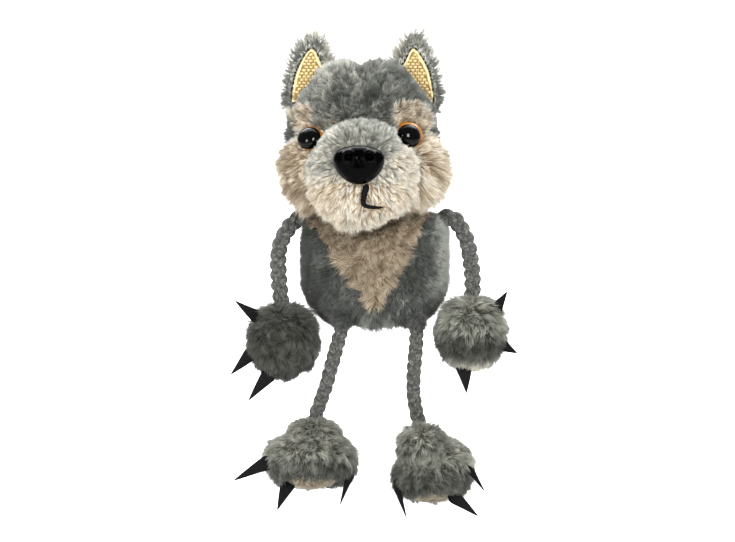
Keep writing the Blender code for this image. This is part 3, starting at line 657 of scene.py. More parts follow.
def yarn_look(name, dark, mid, light, scale=2.2, sheen=0.1):
    """Spun or knitted yarn: mottled along its fibres, with a fine fuzz."""
    look = Look(name, mid, 0.85, specular=0.08, sheen=sheen)
    heather = look.ramp(look.noise(scale, 5.0), [(0.28, dark), (0.5, mid), (0.74, light)])
    fibres = look.ramp(look.noise(scale * 3.2, 2.0), [(0.3, (200, 200, 200)), (0.62, (255, 255, 255))])
    look.colour(look.mix(heather, fibres))
    look.bump(look.noise(scale * 2.0, 3.0), 0.12, 0.6)
    return look.material


def weave_look(name, dark, light, scale):
    """Woven cloth: two crossed bands of threads."""
    look = Look(name, dark, 0.9, specular=0.15, sheen=0.1)
    threads = []
    for direction in ("X", "Z"):
        made = look.node("TexWave", wave_type="BANDS", bands_direction=direction)
        made.inputs["Scale"].default_value = scale
        made.inputs["Distortion"].default_value = 0.6
        look.join(look.place(), made.inputs["Vector"])
        threads.append(made.outputs["Fac"])
    both = look.mix(threads[0], threads[1], "ADD", 0.5)
    look.colour(look.ramp(both, [(0.2, dark), (0.9, light)]))
    look.bump(both, 0.2)
    return look.material


# ---------------------------------------------------------------- head

def slanted(start, end):
    """Plane (point, normal) seen from the front as the line between two (x, z) points."""
    return (start[0], 0.0, start[1]), (-(end[1] - start[1]), 0.0, end[0] - start[0])


def side_of(points, plane):
    return (points - np.array(plane[0], float)) @ np.array(plane[1], float)


SNOUT_SEAMS = [
    slanted(SNOUT_CORNERS[0], (FACE_SEAM_X - SNOUT_HALF_APEX, BROW_SEAM_Z)),
    slanted((FACE_SEAM_X + SNOUT_HALF_APEX, BROW_SEAM_Z), SNOUT_CORNERS[1]),
    ((SNOUT_CORNERS[0][0], 0, 0), (-1, 0, 0)),
    ((SNOUT_CORNERS[1][0], 0, 0), (1, 0, 0)),
]
HEAD_SEAMS = [
    ((0, HEAD_SIDE_SEAM_Y, 0), (0, 1, 0)),
    ((0, 0, BROW_SEAM_Z), (0, 0, 1)),
    ((FACE_SEAM_X, 0, 0), (1, 0, 0)),
    ((0, 0, SNOUT_BASE_Z), (0, 0, 1)),
    *SNOUT_SEAMS,
]
HEAD_PANELS = ("head_back", "crown_right", "crown_left", "muzzle_top", "cheek_right", "cheek_left")
HEAD_SLOTS = {"head_back": "plush_grey", "crown_right": "plush_grey", "crown_left": "plush_grey",
              "muzzle_top": "plush_light_grey", "cheek_right": "plush_cream",
              "cheek_left": "plush_cream"}


def head_panel(points):
    x, y, z = points.T
    in_snout = (y < HEAD_CENTRE[1]) & (z > SNOUT_BASE_Z)
    for plane in SNOUT_SEAMS:
        in_snout &= side_of(points, plane) < 0
    rightwards = x < FACE_SEAM_X
    return np.select(
        [y > HEAD_SIDE_SEAM_Y, (z > BROW_SEAM_Z) & rightwards, z > BROW_SEAM_Z, in_snout, rightwards],
        ["head_back", "crown_right", "crown_left", "muzzle_top", "cheek_right"], "cheek_left")


def on_snout(points):
    """1 on the snout's own round form, 0 on the rest of the head."""
    reaches = HEAD.parts(unit(points - HEAD.centre))
    rest = np.delete(reaches, SNOUT_LOBE, axis=1).max(axis=1)
    low = 1 - ease(points[:, 2], 50.0, 58.0)
    return ease(reaches[:, SNOUT_LOBE] - rest, -0.4 - 1.6 * low, 0.9 + 2.6 * low)


def head_tint(points):
    x, y, z = points.T
    patches = wobble(11, 9.0)(points)
    # The crown's top towards -x is 0.12 lighter: a painted sheen.
    grey = (MID - 0.04 + 0.14 * ease(-x, 4.0, 16.0) + 0.12 * ease(z, 70.0, 77.0) * ease(-x, 0.0, 9.0)
            + 0.09 * patches + 0.05 * wobble(16, 3.5)(points))
    # Painted shade in the creases where the snout meets the cheeks, low on the face: it makes the cheek
    # browner there.
    crease_shade = np.exp(-((np.abs(x - FACE_SEAM_X) - 13.5) / 3.0) ** 2) * (1 - ease(z, 50.0, 54.0))
    # The cheek is lighter towards +x, so it is browner towards -x. The spot at (-23.4, 51.6) below is
    # browner still. Both are partly the cheek's own brown and partly painted shade.
    cheek = CREAM + 0.11 * wobble(12, 7.0)(points) - 0.08 * ease(x, 0.0, 10.0) + 0.08 * crease_shade
    between_eyes = ease(z, 52.0, 54.0) * (1 - ease(np.abs(x + 4.0), 9.0, 13.0))
    face = mixed(cheek, grey, np.maximum(ease(z, 57.5, 60.0), between_eyes))
    for centre, radii, tint in (((18.8, 60.8), (3.0, 5.4), MID - 0.03),
                                ((10.4, 63.1), (6.2, 5.5), CREAM + 0.03),
                                ((-21.6, 63.6), (4.4, 4.2), CREAM - 0.01),
                                ((-25.6, 59.4), (3.4, 4.2), DARK),
                                ((-23.4, 51.6), (4.6, 4.0), CREAM + 0.05)):
        face = mixed(face, tint, within(points, centre, radii))
    fade_z = 45.5 + 0.85 * np.maximum(x + 3.0, 0.0)
    around_nose = np.hypot((x - NOSE_PLACE[0]) / 13.0, (z - NOSE_PLACE[1] - 2.0) / 9.0)
    snout = (LIGHT + 0.01 + 0.03 * patches - 0.09 * (1 - ease(around_nose, 0.4, 0.9))
             + 0.08 * ease(np.abs(x + 2.0), 6.0, 11.0) - 0.06 * ease(z, 56.0, 60.0))
    lower = IVORY - 0.04 + 0.05 * wobble(13, 6.0)(points) + 0.12 * ease(-x, 6.0, 14.0)
    snout = mixed(snout, lower, 1 - ease(z, fade_z - 2.5, fade_z + 2.5))
    face = mixed(face, snout, on_snout(points))
    return mixed(face, MID + 0.06 * patches, ease(y, HEAD_SIDE_SEAM_Y - 1.0, HEAD_SIDE_SEAM_Y + 1.0))


def head_length(points):
    x, y, z = points.T
    parting = np.exp(-(((x + 4.6) / 1.6) ** 2)) * ease(z, 72.0, 76.0)
    crown = (2.6 + 0.9 * ease(z, 73.0, 78.0) + 0.4 * wobble(14, 8.0)(points)) * (1 - 0.55 * parting)
    low_side = (ease(np.abs(x - FACE_SEAM_X), 10.0, 18.0) * (1 - ease(z, 46.0, 54.0))
                * (1 - ease(y, 2.0, 8.0)))
    extra = np.where(x > 0, 2.0, 2.6 - 3.6 * ease(z, 40.0, 46.0))
    cheek = 4.6 + 0.7 * wobble(15, 6.0)(points) + extra * low_side
    upper = np.maximum(ease(z, 57.0, 62.0), ease(y, 1.0, 6.0) * 0.7)
    length = mixed(cheek, crown, upper)
    length += 2.2 * within(points, (-27.0, 61.0), (4.8, 6.8)) * (y < 6)
    snout = (2.4 + 1.0 * (1 - ease(z, 40.0, 46.0)) + 0.9 * ease(np.abs(x + 4.0), 6.0, 14.0)
             + 1.8 * (1 - ease(z, 33.0, 38.0)))
    length = mixed(length, snout, on_snout(points))
    for side in SIDES:
        near_eye = 1.9 + 0.6 * np.maximum(eye_distance(points, side) - EYE_RADIUS, 0)
        length = np.where(y < 0, np.minimum(length, near_eye), length)
    near_nose = 1.1 + 3.0 * np.maximum(nose_level(points) - 1, 0)
    length = np.where(y < -20, np.minimum(length, near_nose), length)
    return np.minimum(length, 0.5 + 0.75 * mouth_distance(points))


def mouth_distance(points):
    """Distance from the mouth line as seen from the front, large behind the face."""
    best = np.full(len(points), 99.0)
    flat = points[:, [0, 2]]
    for start, end in zip(MOUTH_ROUTE, MOUTH_ROUTE[1:]):
        a, run = np.array(start), np.subtract(end, start)
        t = np.clip((flat - a) @ run / (run @ run), 0, 1)
        best = np.minimum(best, np.linalg.norm(flat - a - t[:, None] * run, axis=1))
    return best + 20 * (points[:, 1] > HEAD_CENTRE[1])


def head_flow(points, normals):
    x, y, z = points.T
    away = around(points, (NOSE_PLACE[0], -33.0, 46.5), normals)
    down = np.zeros_like(points)
    down[:, 2] = -0.75 * (1 - ease(z, 50.0, 60.0)) - 0.9 * ease(y, 2.0, 12.0)
    sideways = np.zeros_like(points)
    sideways[:, 0] = np.sign(x - FACE_SEAM_X) * 0.5 * ease(z, 60.0, 66.0) * (1 - ease(y, 0, 8))
    return away + down + sideways


def head_lean(points):
    """Angle from upright: the crown's pile lies flatter than the cheeks'."""
    z = points[:, 2]
    return 47.0 - 2.0 * (1 - ease(z, 46.0, 56.0)) - 14.0 * ease(z, 74.0, 79.0)


def eye_distance(points, side):
    return np.hypot(points[:, 0] - EYE_PLACES[side][0], points[:, 2] - EYE_PLACES[side][1])


def nose_level(points):
    """1 on the nose's outline as seen from the front, less inside it."""
    return np.hypot((points[:, 0] - NOSE_PLACE[0]) / NOSE_HALF_WIDTH,
                    (points[:, 2] - NOSE_PLACE[1]) / NOSE_HALF_HEIGHT)


def bare_face(points):
    """True where a moulded piece sits in the face and no pile grows."""
    bare = (nose_level(points) < 0.9) | (mouth_distance(points) < 0.6)
    for side in SIDES:
        bare |= eye_distance(points, side) < EYE_CLEARING[side]
    return bare & (points[:, 1] < 0)


HEAD_INSET = 1.5
HEAD_DENSITY, BACK_DENSITY = 12.0, 9.3


def make_head():
    skins = sewn_panels(HEAD, HEAD_INSET, HEAD_SEAMS, head_panel, HEAD_PANELS, groove=0.5)
    # Each pile look takes the root and middle colours of its painted root shade; each ground is darker
    # than its pile as painted shade between the strands
    looks = {
        "plush_grey": (pile_look("plush_grey", GREY_CREAM),
                       backing_look("ground_grey", (48, 50, 48), (66, 68, 65))),
        "plush_light_grey": (pile_look("plush_light_grey", GREY_CREAM, (140, 134, 128)),
                             backing_look("ground_light_grey", (96, 94, 88), (120, 117, 108))),
        "plush_cream": (pile_look("plush_cream", GREY_CREAM, (138, 120, 100), (202, 193, 182)),
                        backing_look("ground_cream", (120, 100, 78), (148, 126, 100))),
    }
    for number, (name, skin) in enumerate(skins.items()):
        slot = HEAD_SLOTS[name]
        pile, ground = looks[slot]
        shell = add_skin("plush_" + name, skin, ground)
        finish_piece(shell, "head", slot, name)
        density = BACK_DENSITY if name == "head_back" else HEAD_DENSITY
        roots, normals = skin.roots(density, 100 + number)
        grown = ~bare_face(roots)
        roots, normals = roots[grown], normals[grown]
        fur = grow("pile_" + name, roots, normals, head_flow(roots, normals), head_length(roots),
                   head_tint(roots), pile, 200 + 10 * number,
                   lean=head_lean(roots), width=0.1, gather=0.6, tuft=1.5,
                   swirl=0.35 + 0.7 * ease(roots[:, 2], 58.0, 66.0))
        finish_piece(fur, "head", slot)


# ---------------------------------------------------------------- moulded face pieces

def turned(points, seat, normal):
    """Points modelled round the origin and facing -Y, turned to face the normal at the seat."""
    turn = np.array(Vector((0, -1, 0)).rotation_difference(Vector(normal)).to_matrix())
    return points @ turn.T + seat


def seat_of(place, look, height):
    point, normal = HEAD.front(*place)
    facing = unit(np.array([normal[0] * look, normal[1], normal[2] * look]))
    return point + facing * height, facing


DISC_BACK = 0.4


def disc_form(shape, rings=28, segments=72):
    """Closed dome from shape(radius 0 to 1, angle) -> (x, y, z), with a flat back."""
    radii = np.sin(np.linspace(0, math.pi / 2, rings + 1))[1:]
    angles = np.arange(segments) * 2 * math.pi / segments
    r, a = np.meshgrid(radii, angles, indexing="ij")
    rows = np.stack(shape(r.ravel(), a.ravel()), axis=1).reshape(rings, segments, 3)
    back = rows[-1:] * (1, 0, 1) + (0, DISC_BACK, 0)
    middle = np.stack(shape(np.zeros(1), np.zeros(1)), axis=1)[0]
    return lathe(np.concatenate([rows, back]), [middle, (0, DISC_BACK, 0)])


def dome(radius, height, power=2.0):
    return lambda r, a: (radius * r * np.cos(a), -height * (1 - r**power) ** (1 / power),
                         radius * r * np.sin(a))


PUPIL_RADIUS = 3.65
PUPIL_SHIFT = {"right": (-0.5, -0.4), "left": (-0.2, -0.4)}
IRIS_RADIUS = {"right": 4.1, "left": 4.4}
EYE_CLEARING = {"right": 3.5, "left": 4.2}  # radius round each eye that no pile grows in


def make_eyes():
    amber = moulded_look("eye_amber", ((116, 68, 10), (158, 102, 22)), 0.1, 0.3)
    black = moulded_look("eye_black", ((1, 1, 1), (3, 3, 3)), 0.03, 0.12)
    for side in SIDES:
        seat, facing = seat_of(EYE_PLACES[side], EYE_LOOK, -0.1)
        verts, tris = disc_form(dome(IRIS_RADIUS[side], 2.1))
        iris = add_mesh("eye_iris_" + side, turned(verts, seat, facing), tris, amber)
        finish_piece(iris, "head", "eye_amber", "eye_" + side)
        verts, tris = disc_form(dome(PUPIL_RADIUS, 2.3))
        verts = verts + np.array([PUPIL_SHIFT[side][0], 0.0, PUPIL_SHIFT[side][1]])
        pupil = add_mesh("eye_pupil_" + side, turned(verts, seat + facing * 1.0, facing), tris, black)
        finish_piece(pupil, "head", "nose_black")


NOSTRILS = ((-3.0, 1.6), (3.2, 1.6))


def nose_shape(r, a):
    """Rounded triangle, wider at the top, with two rimmed nostrils and a groove below them."""
    x = NOSE_HALF_WIDTH * r * np.sign(np.cos(a)) * np.abs(np.cos(a)) ** 0.85
    z = NOSE_HALF_HEIGHT * r * np.sign(np.sin(a)) * np.abs(np.sin(a)) ** 0.85
    level = z / NOSE_HALF_HEIGHT
    x = x * (0.98 + 0.24 * level - 0.08 * level**2)
    z = z * 1.1 - 0.5
    rise = NOSE_DEPTH * (1 - r**2.4) ** (1 / 2.2)
    for place_x, place_z in NOSTRILS:
        away = np.hypot((x - place_x) * 1.2, z - place_z)
        rise = rise - 1.3 * np.exp(-((away / 1.0) ** 2)) + 0.42 * np.exp(-(((away - 1.9) / 0.6) ** 2))
    rise = rise - 0.45 * np.exp(-((x / 0.5) ** 2)) * (1 - ease(z, -0.5, 1.0)) * (r < 0.97)
    return x, -rise, z


def make_nose():
    seat, facing = seat_of(NOSE_PLACE, NOSE_LOOK * 0.4, 0.0)
    verts, tris = disc_form(nose_shape, rings=60, segments=128)
    nose = add_mesh("nose_moulded", turned(verts, seat, facing), tris,
                    moulded_look("nose_black", ((0, 0, 0), (2, 2, 2)), 0.1, 0.026))
    finish_piece(nose, "head", "nose_black", "nose")


def curve_points(points, step=0.5):
    """Points about step apart on a smooth curve through the given ones (Catmull-Rom)."""
    p = np.array(points, float)
    p = np.concatenate([[2 * p[0] - p[1]], p, [2 * p[-1] - p[-2]]])
    line = []
    for a, b, c, d in zip(p, p[1:], p[2:], p[3:]):
        count = max(2, int(np.linalg.norm(c - b) / step))
        for t in np.arange(count) / count:
            line.append(0.5 * (2 * b + (c - a) * t + (2 * a - 5 * b + 4 * c - d) * t**2
                               + (3 * b - a - 3 * c + d) * t**3))
    line.append(p[-2])
    return np.array(line)


def tube(line, radii, segments=12, across=(0, 1, 0)):
    """Closed tube along a line, with a radius at each point."""
    along = unit(np.gradient(line, axis=0))
    side = unit(np.cross(along, np.array(across, float)))
    up = np.cross(side, along)
    angles = np.arange(segments) * 2 * math.pi / segments
    rings = (line[:, None] + (side[:, None] * np.cos(angles)[None, :, None]
                              + up[:, None] * np.sin(angles)[None, :, None])
             * np.broadcast_to(radii, (len(line), segments) if np.ndim(radii) == 2 else (len(line),)
                               ).reshape(len(line), -1, 1))
    return lathe(rings, [line[0], line[-1]])


MOUTH_LIFT = 0.75


def make_mouth():
    wall = [HEAD.front(x, z) for x, z in MOUTH_ROUTE]
    route = curve_points([point + normal * MOUTH_LIFT for point, normal in wall], 0.3)
    share = np.linspace(0, 1, len(route))
    radii = (1.1 - 0.75 * share) * np.sqrt(np.clip(np.minimum(share, 1 - share) * 12, 0.15, 1))
    twist = 1 + 0.08 * np.sin(share * 80)
    verts, tris = tube(route, radii * twist, 12, across=(0, 0.3, 1))
    thread = add_mesh("mouth_thread", verts, tris,
                      yarn_look("thread_black", (4, 4, 5), (8, 8, 9), (18, 18, 19), 4.0, 0.0))
    finish_piece(thread, "head", "thread_black", "mouth_stitch")


# ---------------------------------------------------------------- ears

def outline_reach(outline, centre):
    """Distance from the centre to a smooth closed outline, as a function of the angle."""
    closed = curve_points([*outline[-1:], *outline, *outline[:2]], 0.4)
    offsets = closed - np.array(centre)
    angles = np.arctan2(offsets[:, 1], offsets[:, 0])
    order = np.argsort(angles)
    return lambda a: np.interp(a, angles[order], np.hypot(*offsets[order].T), period=2 * math.pi)


def ear_form(shape):
    """Flat pillow with the ear's outline, cupped towards the front."""
    centre = np.mean(shape["outline"], axis=0)
    reach = outline_reach(shape["outline"], centre)
    bm = bmesh.new()
    bmesh.ops.create_icosphere(bm, subdivisions=5, radius=1.0)
    d, tris = taken_arrays(bm)
    d = unit(d)
    angle = np.arctan2(d[:, 2], d[:, 0])
    flat = np.hypot(d[:, 0], d[:, 2])
    span = reach(angle) * flat * 0.93
    x, z = centre[0] + span * np.cos(angle), centre[1] + span * np.sin(angle)
    y = EAR_Y + 1.5 * d[:, 1] - 0.012 * (x - centre[0]) ** 2
    return Surface(np.stack([x, y, z], axis=1), tris), centre


def inside_outline(points, outline, centre, margin=0.0):
    reach = outline_reach(outline, centre)
    offset = points[:, [0, 2]] - centre
    return np.hypot(*offset.T) < reach(np.arctan2(offset[:, 1], offset[:, 0])) + margin


EAR_DENSITY = 12.0
EAR_FOOT_Z = 65.0  # below this the ear is inside the head and bears no pile


def make_ears():
    pile = pile_look("plush_ear", EAR_GREYS)
    ground = backing_look("ground_ear", (66, 68, 65), (86, 88, 84))
    for number, side in enumerate(SIDES):
        shape = EARS[side]
        surface, centre = ear_form(shape)
        shell = add_mesh("plush_ear_" + side, surface.verts, surface.tris, ground)
        finish_piece(shell, "head", "plush_grey", "ear_back_" + side)
        roots, normals = surface.roots(EAR_DENSITY, 300 + number)
        middle = np.mean(shape["inner"], axis=0)
        bare = inside_outline(roots, shape["inner"], middle, 0.1) & (normals[:, 1] < 0)
        grown = ~bare & (roots[:, 2] >= EAR_FOOT_Z)
        roots, normals = roots[grown], normals[grown]
        x, y, z = roots.T
        out = np.stack([x - centre[0], np.zeros(len(roots)), z - centre[1] + 6.0], 1)
        rim = ease(np.hypot(normals[:, 0], normals[:, 2]), 0.3, 0.9)
        front = (normals[:, 1] < 0) & (rim < 0.5)
        beside = inside_outline(roots, shape["inner"], middle, 1.6) & front
        length = (2.1 + rim * (0.1 + 2.6 * ease(z, 68.0, 80.0) + 1.6 * ease(z, 82.0, 88.0))
                  + 0.4 * wobble(31, 5.0)(roots))
        length = np.where(front, length * 0.75, length)
        length = np.where(beside, 0.9, length)
        tint = (0.52 + 0.4 * rim + 0.18 * wobble(32 + number, 6.0)(roots)
                - 0.3 * (1 - ease(z, 68.0, 76.0)))
        tint = np.where(beside, tint + 0.3, tint)
        fur = grow("pile_ear_" + side, roots, normals, unit(out), length, tint, pile, 320 + 10 * number,
                   lean=np.where(rim > 0.5, 38.0, 62.0), width=0.09)
        finish_piece(fur, "head", "plush_grey")
        embroider(side, shape, surface)


EMBROIDERY_MARGIN = 0.25
SATIN_SLANT = math.radians(12) * 0.3


def embroider(side, shape, ear):
    """Gold stitched patch: rows of satin stitches, a pale satin edge and a dark dashed outline."""
    inner = shape["inner"]
    centre = np.mean(inner, axis=0)
    whole = outline_reach(inner, centre)

    def reach(angle):
        return whole(angle) - EMBROIDERY_MARGIN

    tree = kdtree.KDTree(len(ear.verts))
    for i, v in enumerate(ear.verts):
        tree.insert((v[0], 0, v[2]) if ear.normals[i][1] < -0.2 else (v[0], 50, v[2]), i)
    tree.balance()

    def lift(x, z, height):
        """A point the given height in front of the ear's front."""
        return np.array([x, ear.verts[tree.find((x, 0, z))[1]][1] - height, z])

    def covered(x, z):
        return np.hypot(x - centre[0], z - centre[1]) < reach(math.atan2(z - centre[1], x - centre[0]))

    def polar(distance, angle):
        return centre[0] + distance * math.cos(angle), centre[1] + distance * math.sin(angle)

    gold = cloth_look("satin", "embroidery_gold", (160, 138, 88), (212, 190, 132), (212, 190, 132))
    pale = cloth_look("satin", "embroidery_edge", (190, 168, 116), (236, 220, 172), (236, 220, 172))
    dark = yarn_look("embroidery_outline", (26, 21, 15), (44, 36, 26), (70, 58, 42), 4.0)
    brown = yarn_look("embroidery_dots", (92, 72, 40), (120, 96, 56), (150, 124, 76), 4.0)
    rows, dots, edge, dashes = [], [], [], []
    low, high = min(z for _, z in inner), max(z for _, z in inner)
    pitch, stitch = 0.95, 1.4
    for row, z in enumerate(np.arange(low, high, pitch)):
        start = min(x for x, _ in inner) + (row % 2) * stitch / 2
        for x in np.arange(start, max(x for x, _ in inner), stitch):
            far = x + stitch * 0.94
            if covered(x, z) and covered(far, z):
                rows.append([lift(x, z, 0.1), lift(x + stitch / 2, z, 0.35), lift(far, z, 0.1)])
                dots.append([lift(x + stitch * 0.84, z - 0.1, 0.62),
                             lift(x + stitch * 1.08, z + 0.1, 0.62)])
    for a in np.arange(0, 2 * math.pi, 0.045):
        edge.append([lift(*polar(reach(a) - 0.35, a + SATIN_SLANT), 0.15),
                     lift(*polar(reach(a), a), 0.55), lift(*polar(reach(a) + 0.45, a), 0.1)])
    rim = np.array([polar(reach(a) + 0.85, a) for a in np.arange(0, 2 * math.pi, 0.11)])
    for k in range(0, len(rim) - 1, 2):
        middle = (rim[k] + rim[k + 1]) / 2
        dashes.append([lift(*rim[k], 0.9), lift(*middle, 1.25), lift(*rim[k + 1], 0.9)])
    plate = add_mesh("ear_felt_" + side, *patch_plate(reach, centre, lift),
                     cloth_look("felt", "ear_felt", (120, 98, 58), (150, 126, 80)))
    finish_piece(plate, "head", "embroidery_gold", "inner_ear_" + side)
    for name, stitches, radius, look in (
            ("ear_stitches_", rows, 0.46, gold), ("ear_satin_", edge, 0.26, pale),
            ("ear_outline_", dashes, 0.3, dark), ("ear_dots_", dots, 0.19, brown)):
        finish_piece(add_stitches(name + side, stitches, radius, look), "head", "embroidery_gold")


def patch_plate(reach, centre, lift, rings=10, segments=72):
    """Thin closed plate under the embroidery."""
    turns = 2 * math.pi * np.arange(segments) / segments
    verts = [lift(*centre, 0.2)]
    for ring in range(1, rings + 1):
        for a in turns:
            r = reach(a) * ring / rings
            verts.append(lift(centre[0] + r * math.cos(a), centre[1] + r * math.sin(a), 0.2))
    front = np.array(verts)
    tris = np.concatenate([cap(0, np.arange(1, segments + 1)), grid_tris(rings, segments) + 1])
    return closed_shell(front, front + (0, 0.6, 0), tris)


def add_stitches(name, stitches, radius, material):
    """Many short fat threads as one piece."""
    tubes = []
    for stitch in stitches:
        line = np.array(stitch, float)
        line = curve_points(line, 0.3) if len(line) > 2 else line
        share = np.linspace(0, 1, len(line))
        radii = radius * np.sqrt(np.clip(np.minimum(share, 1 - share) * 5 + 0.12, 0, 1))
        tubes.append(tube(line, radii, 6))
    return add_mesh(name, *joined(tubes), material)


# ---------------------------------------------------------------- body

BODY_PLANES = [
    ((0, BODY_SIDE_SEAM_Y, 0), (0, 1, 0)),
    ((BIB_POINT[0], 0, 0), (1, 0, 0)),
    slanted(BIB_CORNERS[0], BIB_POINT),
    slanted(BIB_POINT, BIB_CORNERS[1]),
]
BODY_PANELS = ("back_panel", "body_panel_right", "body_panel_left", "bib")
BODY_INSET = 0.3
BODY_DENSITY, BIB_DENSITY = 15.0, 11.0


def pocket_level(points, grow):
    """Below 1 inside the finger pocket's outline, seen from below."""
    return ((np.abs(points[:, 0]) / (POCKET_HALF_WIDTH + grow)) ** POCKET_POWER
            + (np.abs(points[:, 1]) / (POCKET_HALF_DEPTH + grow)) ** POCKET_POWER)


def body_panel(points):
    above_v = (side_of(points, BODY_PLANES[2]) > 0) & (side_of(points, BODY_PLANES[3]) > 0)
    mouth = (pocket_level(points, LINING) < 1) & (points[:, 2] < BODY_CENTRE[2])
    return np.select([mouth, points[:, 1] > BODY_SIDE_SEAM_Y, above_v & (points[:, 1] < 0),
                      points[:, 0] < BIB_POINT[0]],
                     ["mouth", "back_panel", "bib", "body_panel_right"], "body_panel_left")


def snap_to_mouth(sheet):
    """Move the rim vertices round the pocket's mouth onto its outline."""
    rim = np.unique(rim_edges(sheet.tris))
    verts = sheet.verts.copy()
    level = pocket_level(verts, LINING)
    close = np.zeros(len(verts), bool)
    close[rim] = True
    close &= (level < 1.6) & (verts[:, 2] < 8.0)
    scale = level[close] ** (-1.0 / POCKET_POWER)
    verts[close, 0] *= scale
    verts[close, 1] *= scale
    return Surface(verts, sheet.tris)


# Soft folds of the front hem: x, half width, depth
HEM_SAGS = ((0.4, 3.2, 1.9), (8.0, 3.4, 0.9), (-5.6, 2.6, 0.5))


def sag_hem(sheet):
    """Let the front hem hang down in soft folds between the legs."""
    x, y, z = sheet.verts.T
    depth = sum(drop * np.exp(-(((x - place) / half) ** 2)) for place, half, drop in HEM_SAGS)
    verts = sheet.verts.copy()
    verts[:, 2] -= depth * (1 - ease(z, 2.0, 7.0)) * ease(-y, 3.5, 7.5)
    return Surface(verts, sheet.tris)


def near_seam(points, planes, reach):
    """How near each point is to the nearest of some seam planes: 1 on it, 0 at reach or further."""
    away = [np.abs(side_of(points, plane)) / np.linalg.norm(plane[1]) for plane in planes]
    return 1.0 - ease(np.min(away, axis=0), 0.0, reach)


def body_tint(points, name):
    if name == "bib":
        return 0.37 + 0.28 * ease(-points[:, 2], -18.0, -8.0) + 0.2 * wobble(41, 4.5)(points)
    # sheen is a painted sheen down the front of the body's +x edge; the body is also painted darker
    # towards its -x edge as painted shade.
    sheen = ease(points[:, 0], 15.0, 21.0) * (1 - ease(points[:, 1], 2.0, 8.0))
    return (0.26 + 0.18 * wobble(42, 9.0)(points) + 0.16 * wobble(46, 3.0)(points) + 0.8 * sheen
            - 0.14 * ease(-points[:, 0], 12.0, 18.0))


def make_body():
    skins = sewn_panels(BODY, BODY_INSET, BODY_PLANES, body_panel, BODY_PANELS, groove=0.4)
    for number, (name, skin) in enumerate(skins.items()):
        skin = sag_hem(snap_to_mouth(skin))
        slot = "plush_taupe" if name == "bib" else "plush_dark_grey"
        pile, ground = PLUSH_LOOKS[slot]
        shell = add_skin("plush_" + name, skin, ground)
        finish_piece(shell, "torso", slot, name)
        roots, normals = skin.roots(BIB_DENSITY if name == "bib" else BODY_DENSITY, 400 + number)
        flow = np.tile(DOWN, (len(roots), 1))
        if name == "bib":
            edge = near_seam(roots, BODY_PLANES[2:], 5.0) * (1 - ease(roots[:, 2], 22.0, 28.0))
            flow[:, 0] = 0.5 * wobble(43, 7.0)(roots) + 1.6 * np.sign(roots[:, 0] - BIB_POINT[0]) * edge
            length = 2.6 + 0.4 * wobble(44, 4.0)(roots) + 1.4 * edge
            fur = grow("pile_bib", roots, normals, flow, length, body_tint(roots, name), pile, 440,
                       lean=50.0, width=0.1, swirl=0.8, gather=0.5)
        else:
            tuft = within(roots, (0.8, 3.0), (5.5, 4.6)) * (roots[:, 1] < 0)
            hem = (1 - ease(roots[:, 2], 2.0, 6.0)) * (roots[:, 1] < -4)
            length = 1.9 + 0.25 * wobble(45, 4.0)(roots) + 0.7 * hem + 1.2 * tuft
            tint = body_tint(roots, name) + 0.35 * tuft
            fur = grow("pile_" + name, roots, normals, flow, length, tint, pile, 450 + 10 * number,
                       lean=28.0, width=0.1, tuft=0.9, gather=0.25, swirl=0.6, short=True)
        finish_piece(fur, "torso", slot)


# ---------------------------------------------------------------- finger pocket, neck, fillings

def pocket_reach(angle, grow):
    """Half width of the finger pocket's outline at an angle, seen from below."""
    across = np.abs(np.cos(angle) / (POCKET_HALF_WIDTH + grow))
    deep = np.abs(np.sin(angle) / (POCKET_HALF_DEPTH + grow))
    return (across**POCKET_POWER + deep**POCKET_POWER) ** (-1 / POCKET_POWER)


def pocket_row(grow, height, scale, segments=72):
    angle = 2 * math.pi * (np.arange(segments) + 0.5) / segments
    ripple = 1 + 0.012 * np.sin(7 * angle + height * 0.35) * min(1.0, height / 6)
    reach = pocket_reach(angle, grow) * scale * ripple
    return np.stack([reach * np.cos(angle), reach * np.sin(angle), np.full(segments, height)], axis=1)


POCKET_HEM = 1.9  # height of the lining's turned hem, a little inside the plush
HEM_STITCHES = 60


def make_lining():
    """Sewn finger pocket: outer and inner wall, with a turned hem round its mouth."""
    def wall(grow):
        top = POCKET_HEIGHT + grow
        heights = np.concatenate([np.linspace(POCKET_HEM, top - 9, 14),
                                  top - 9 * (1 - np.sin(np.linspace(0.1, 1.5, 14)))])
        scales = np.sqrt(np.clip(1 - np.clip((heights - top + 9) / 9.2, 0, 1) ** 2.6, 0.02, 1))
        return [pocket_row(grow, h, s) for h, s in zip(heights, scales)]

    outer, inner = wall(LINING * 0.8), wall(0.0)
    hem = [pocket_row(LINING * 0.4 + 0.75 * math.cos(t), POCKET_HEM - 0.55 * math.sin(t), 1.0)
           for t in np.linspace(0.2, math.pi - 0.2, 8)]
    rows = outer[::-1] + hem + inner
    verts, tris = lathe(rows, [rows[0].mean(axis=0), rows[-1].mean(axis=0)])
    lining = add_mesh("finger_pocket_lining", verts, tris,
                      weave_look("lining_cloth", (58, 60, 63), (104, 106, 109), 1.2))
    finish_piece(lining, "torso", "lining_grey", "finger_lining")
    stitches = []
    for start in np.linspace(0, 2 * math.pi, HEM_STITCHES, endpoint=False):
        ends = start, start + 0.6 * 2 * math.pi / HEM_STITCHES
        reaches = [pocket_reach(a, 0) - 0.1 for a in ends]
        stitches.append([(reach * math.cos(a), reach * math.sin(a), POCKET_HEM + 1.3)
                         for a, reach in zip(ends, reaches)])
    thread = add_stitches("hem_stitches", stitches, 0.22,
                          yarn_look("hem_thread", (120, 120, 122), (150, 150, 152),
                                    (190, 190, 192), 4.0))
    finish_piece(thread, "torso", "thread_grey")


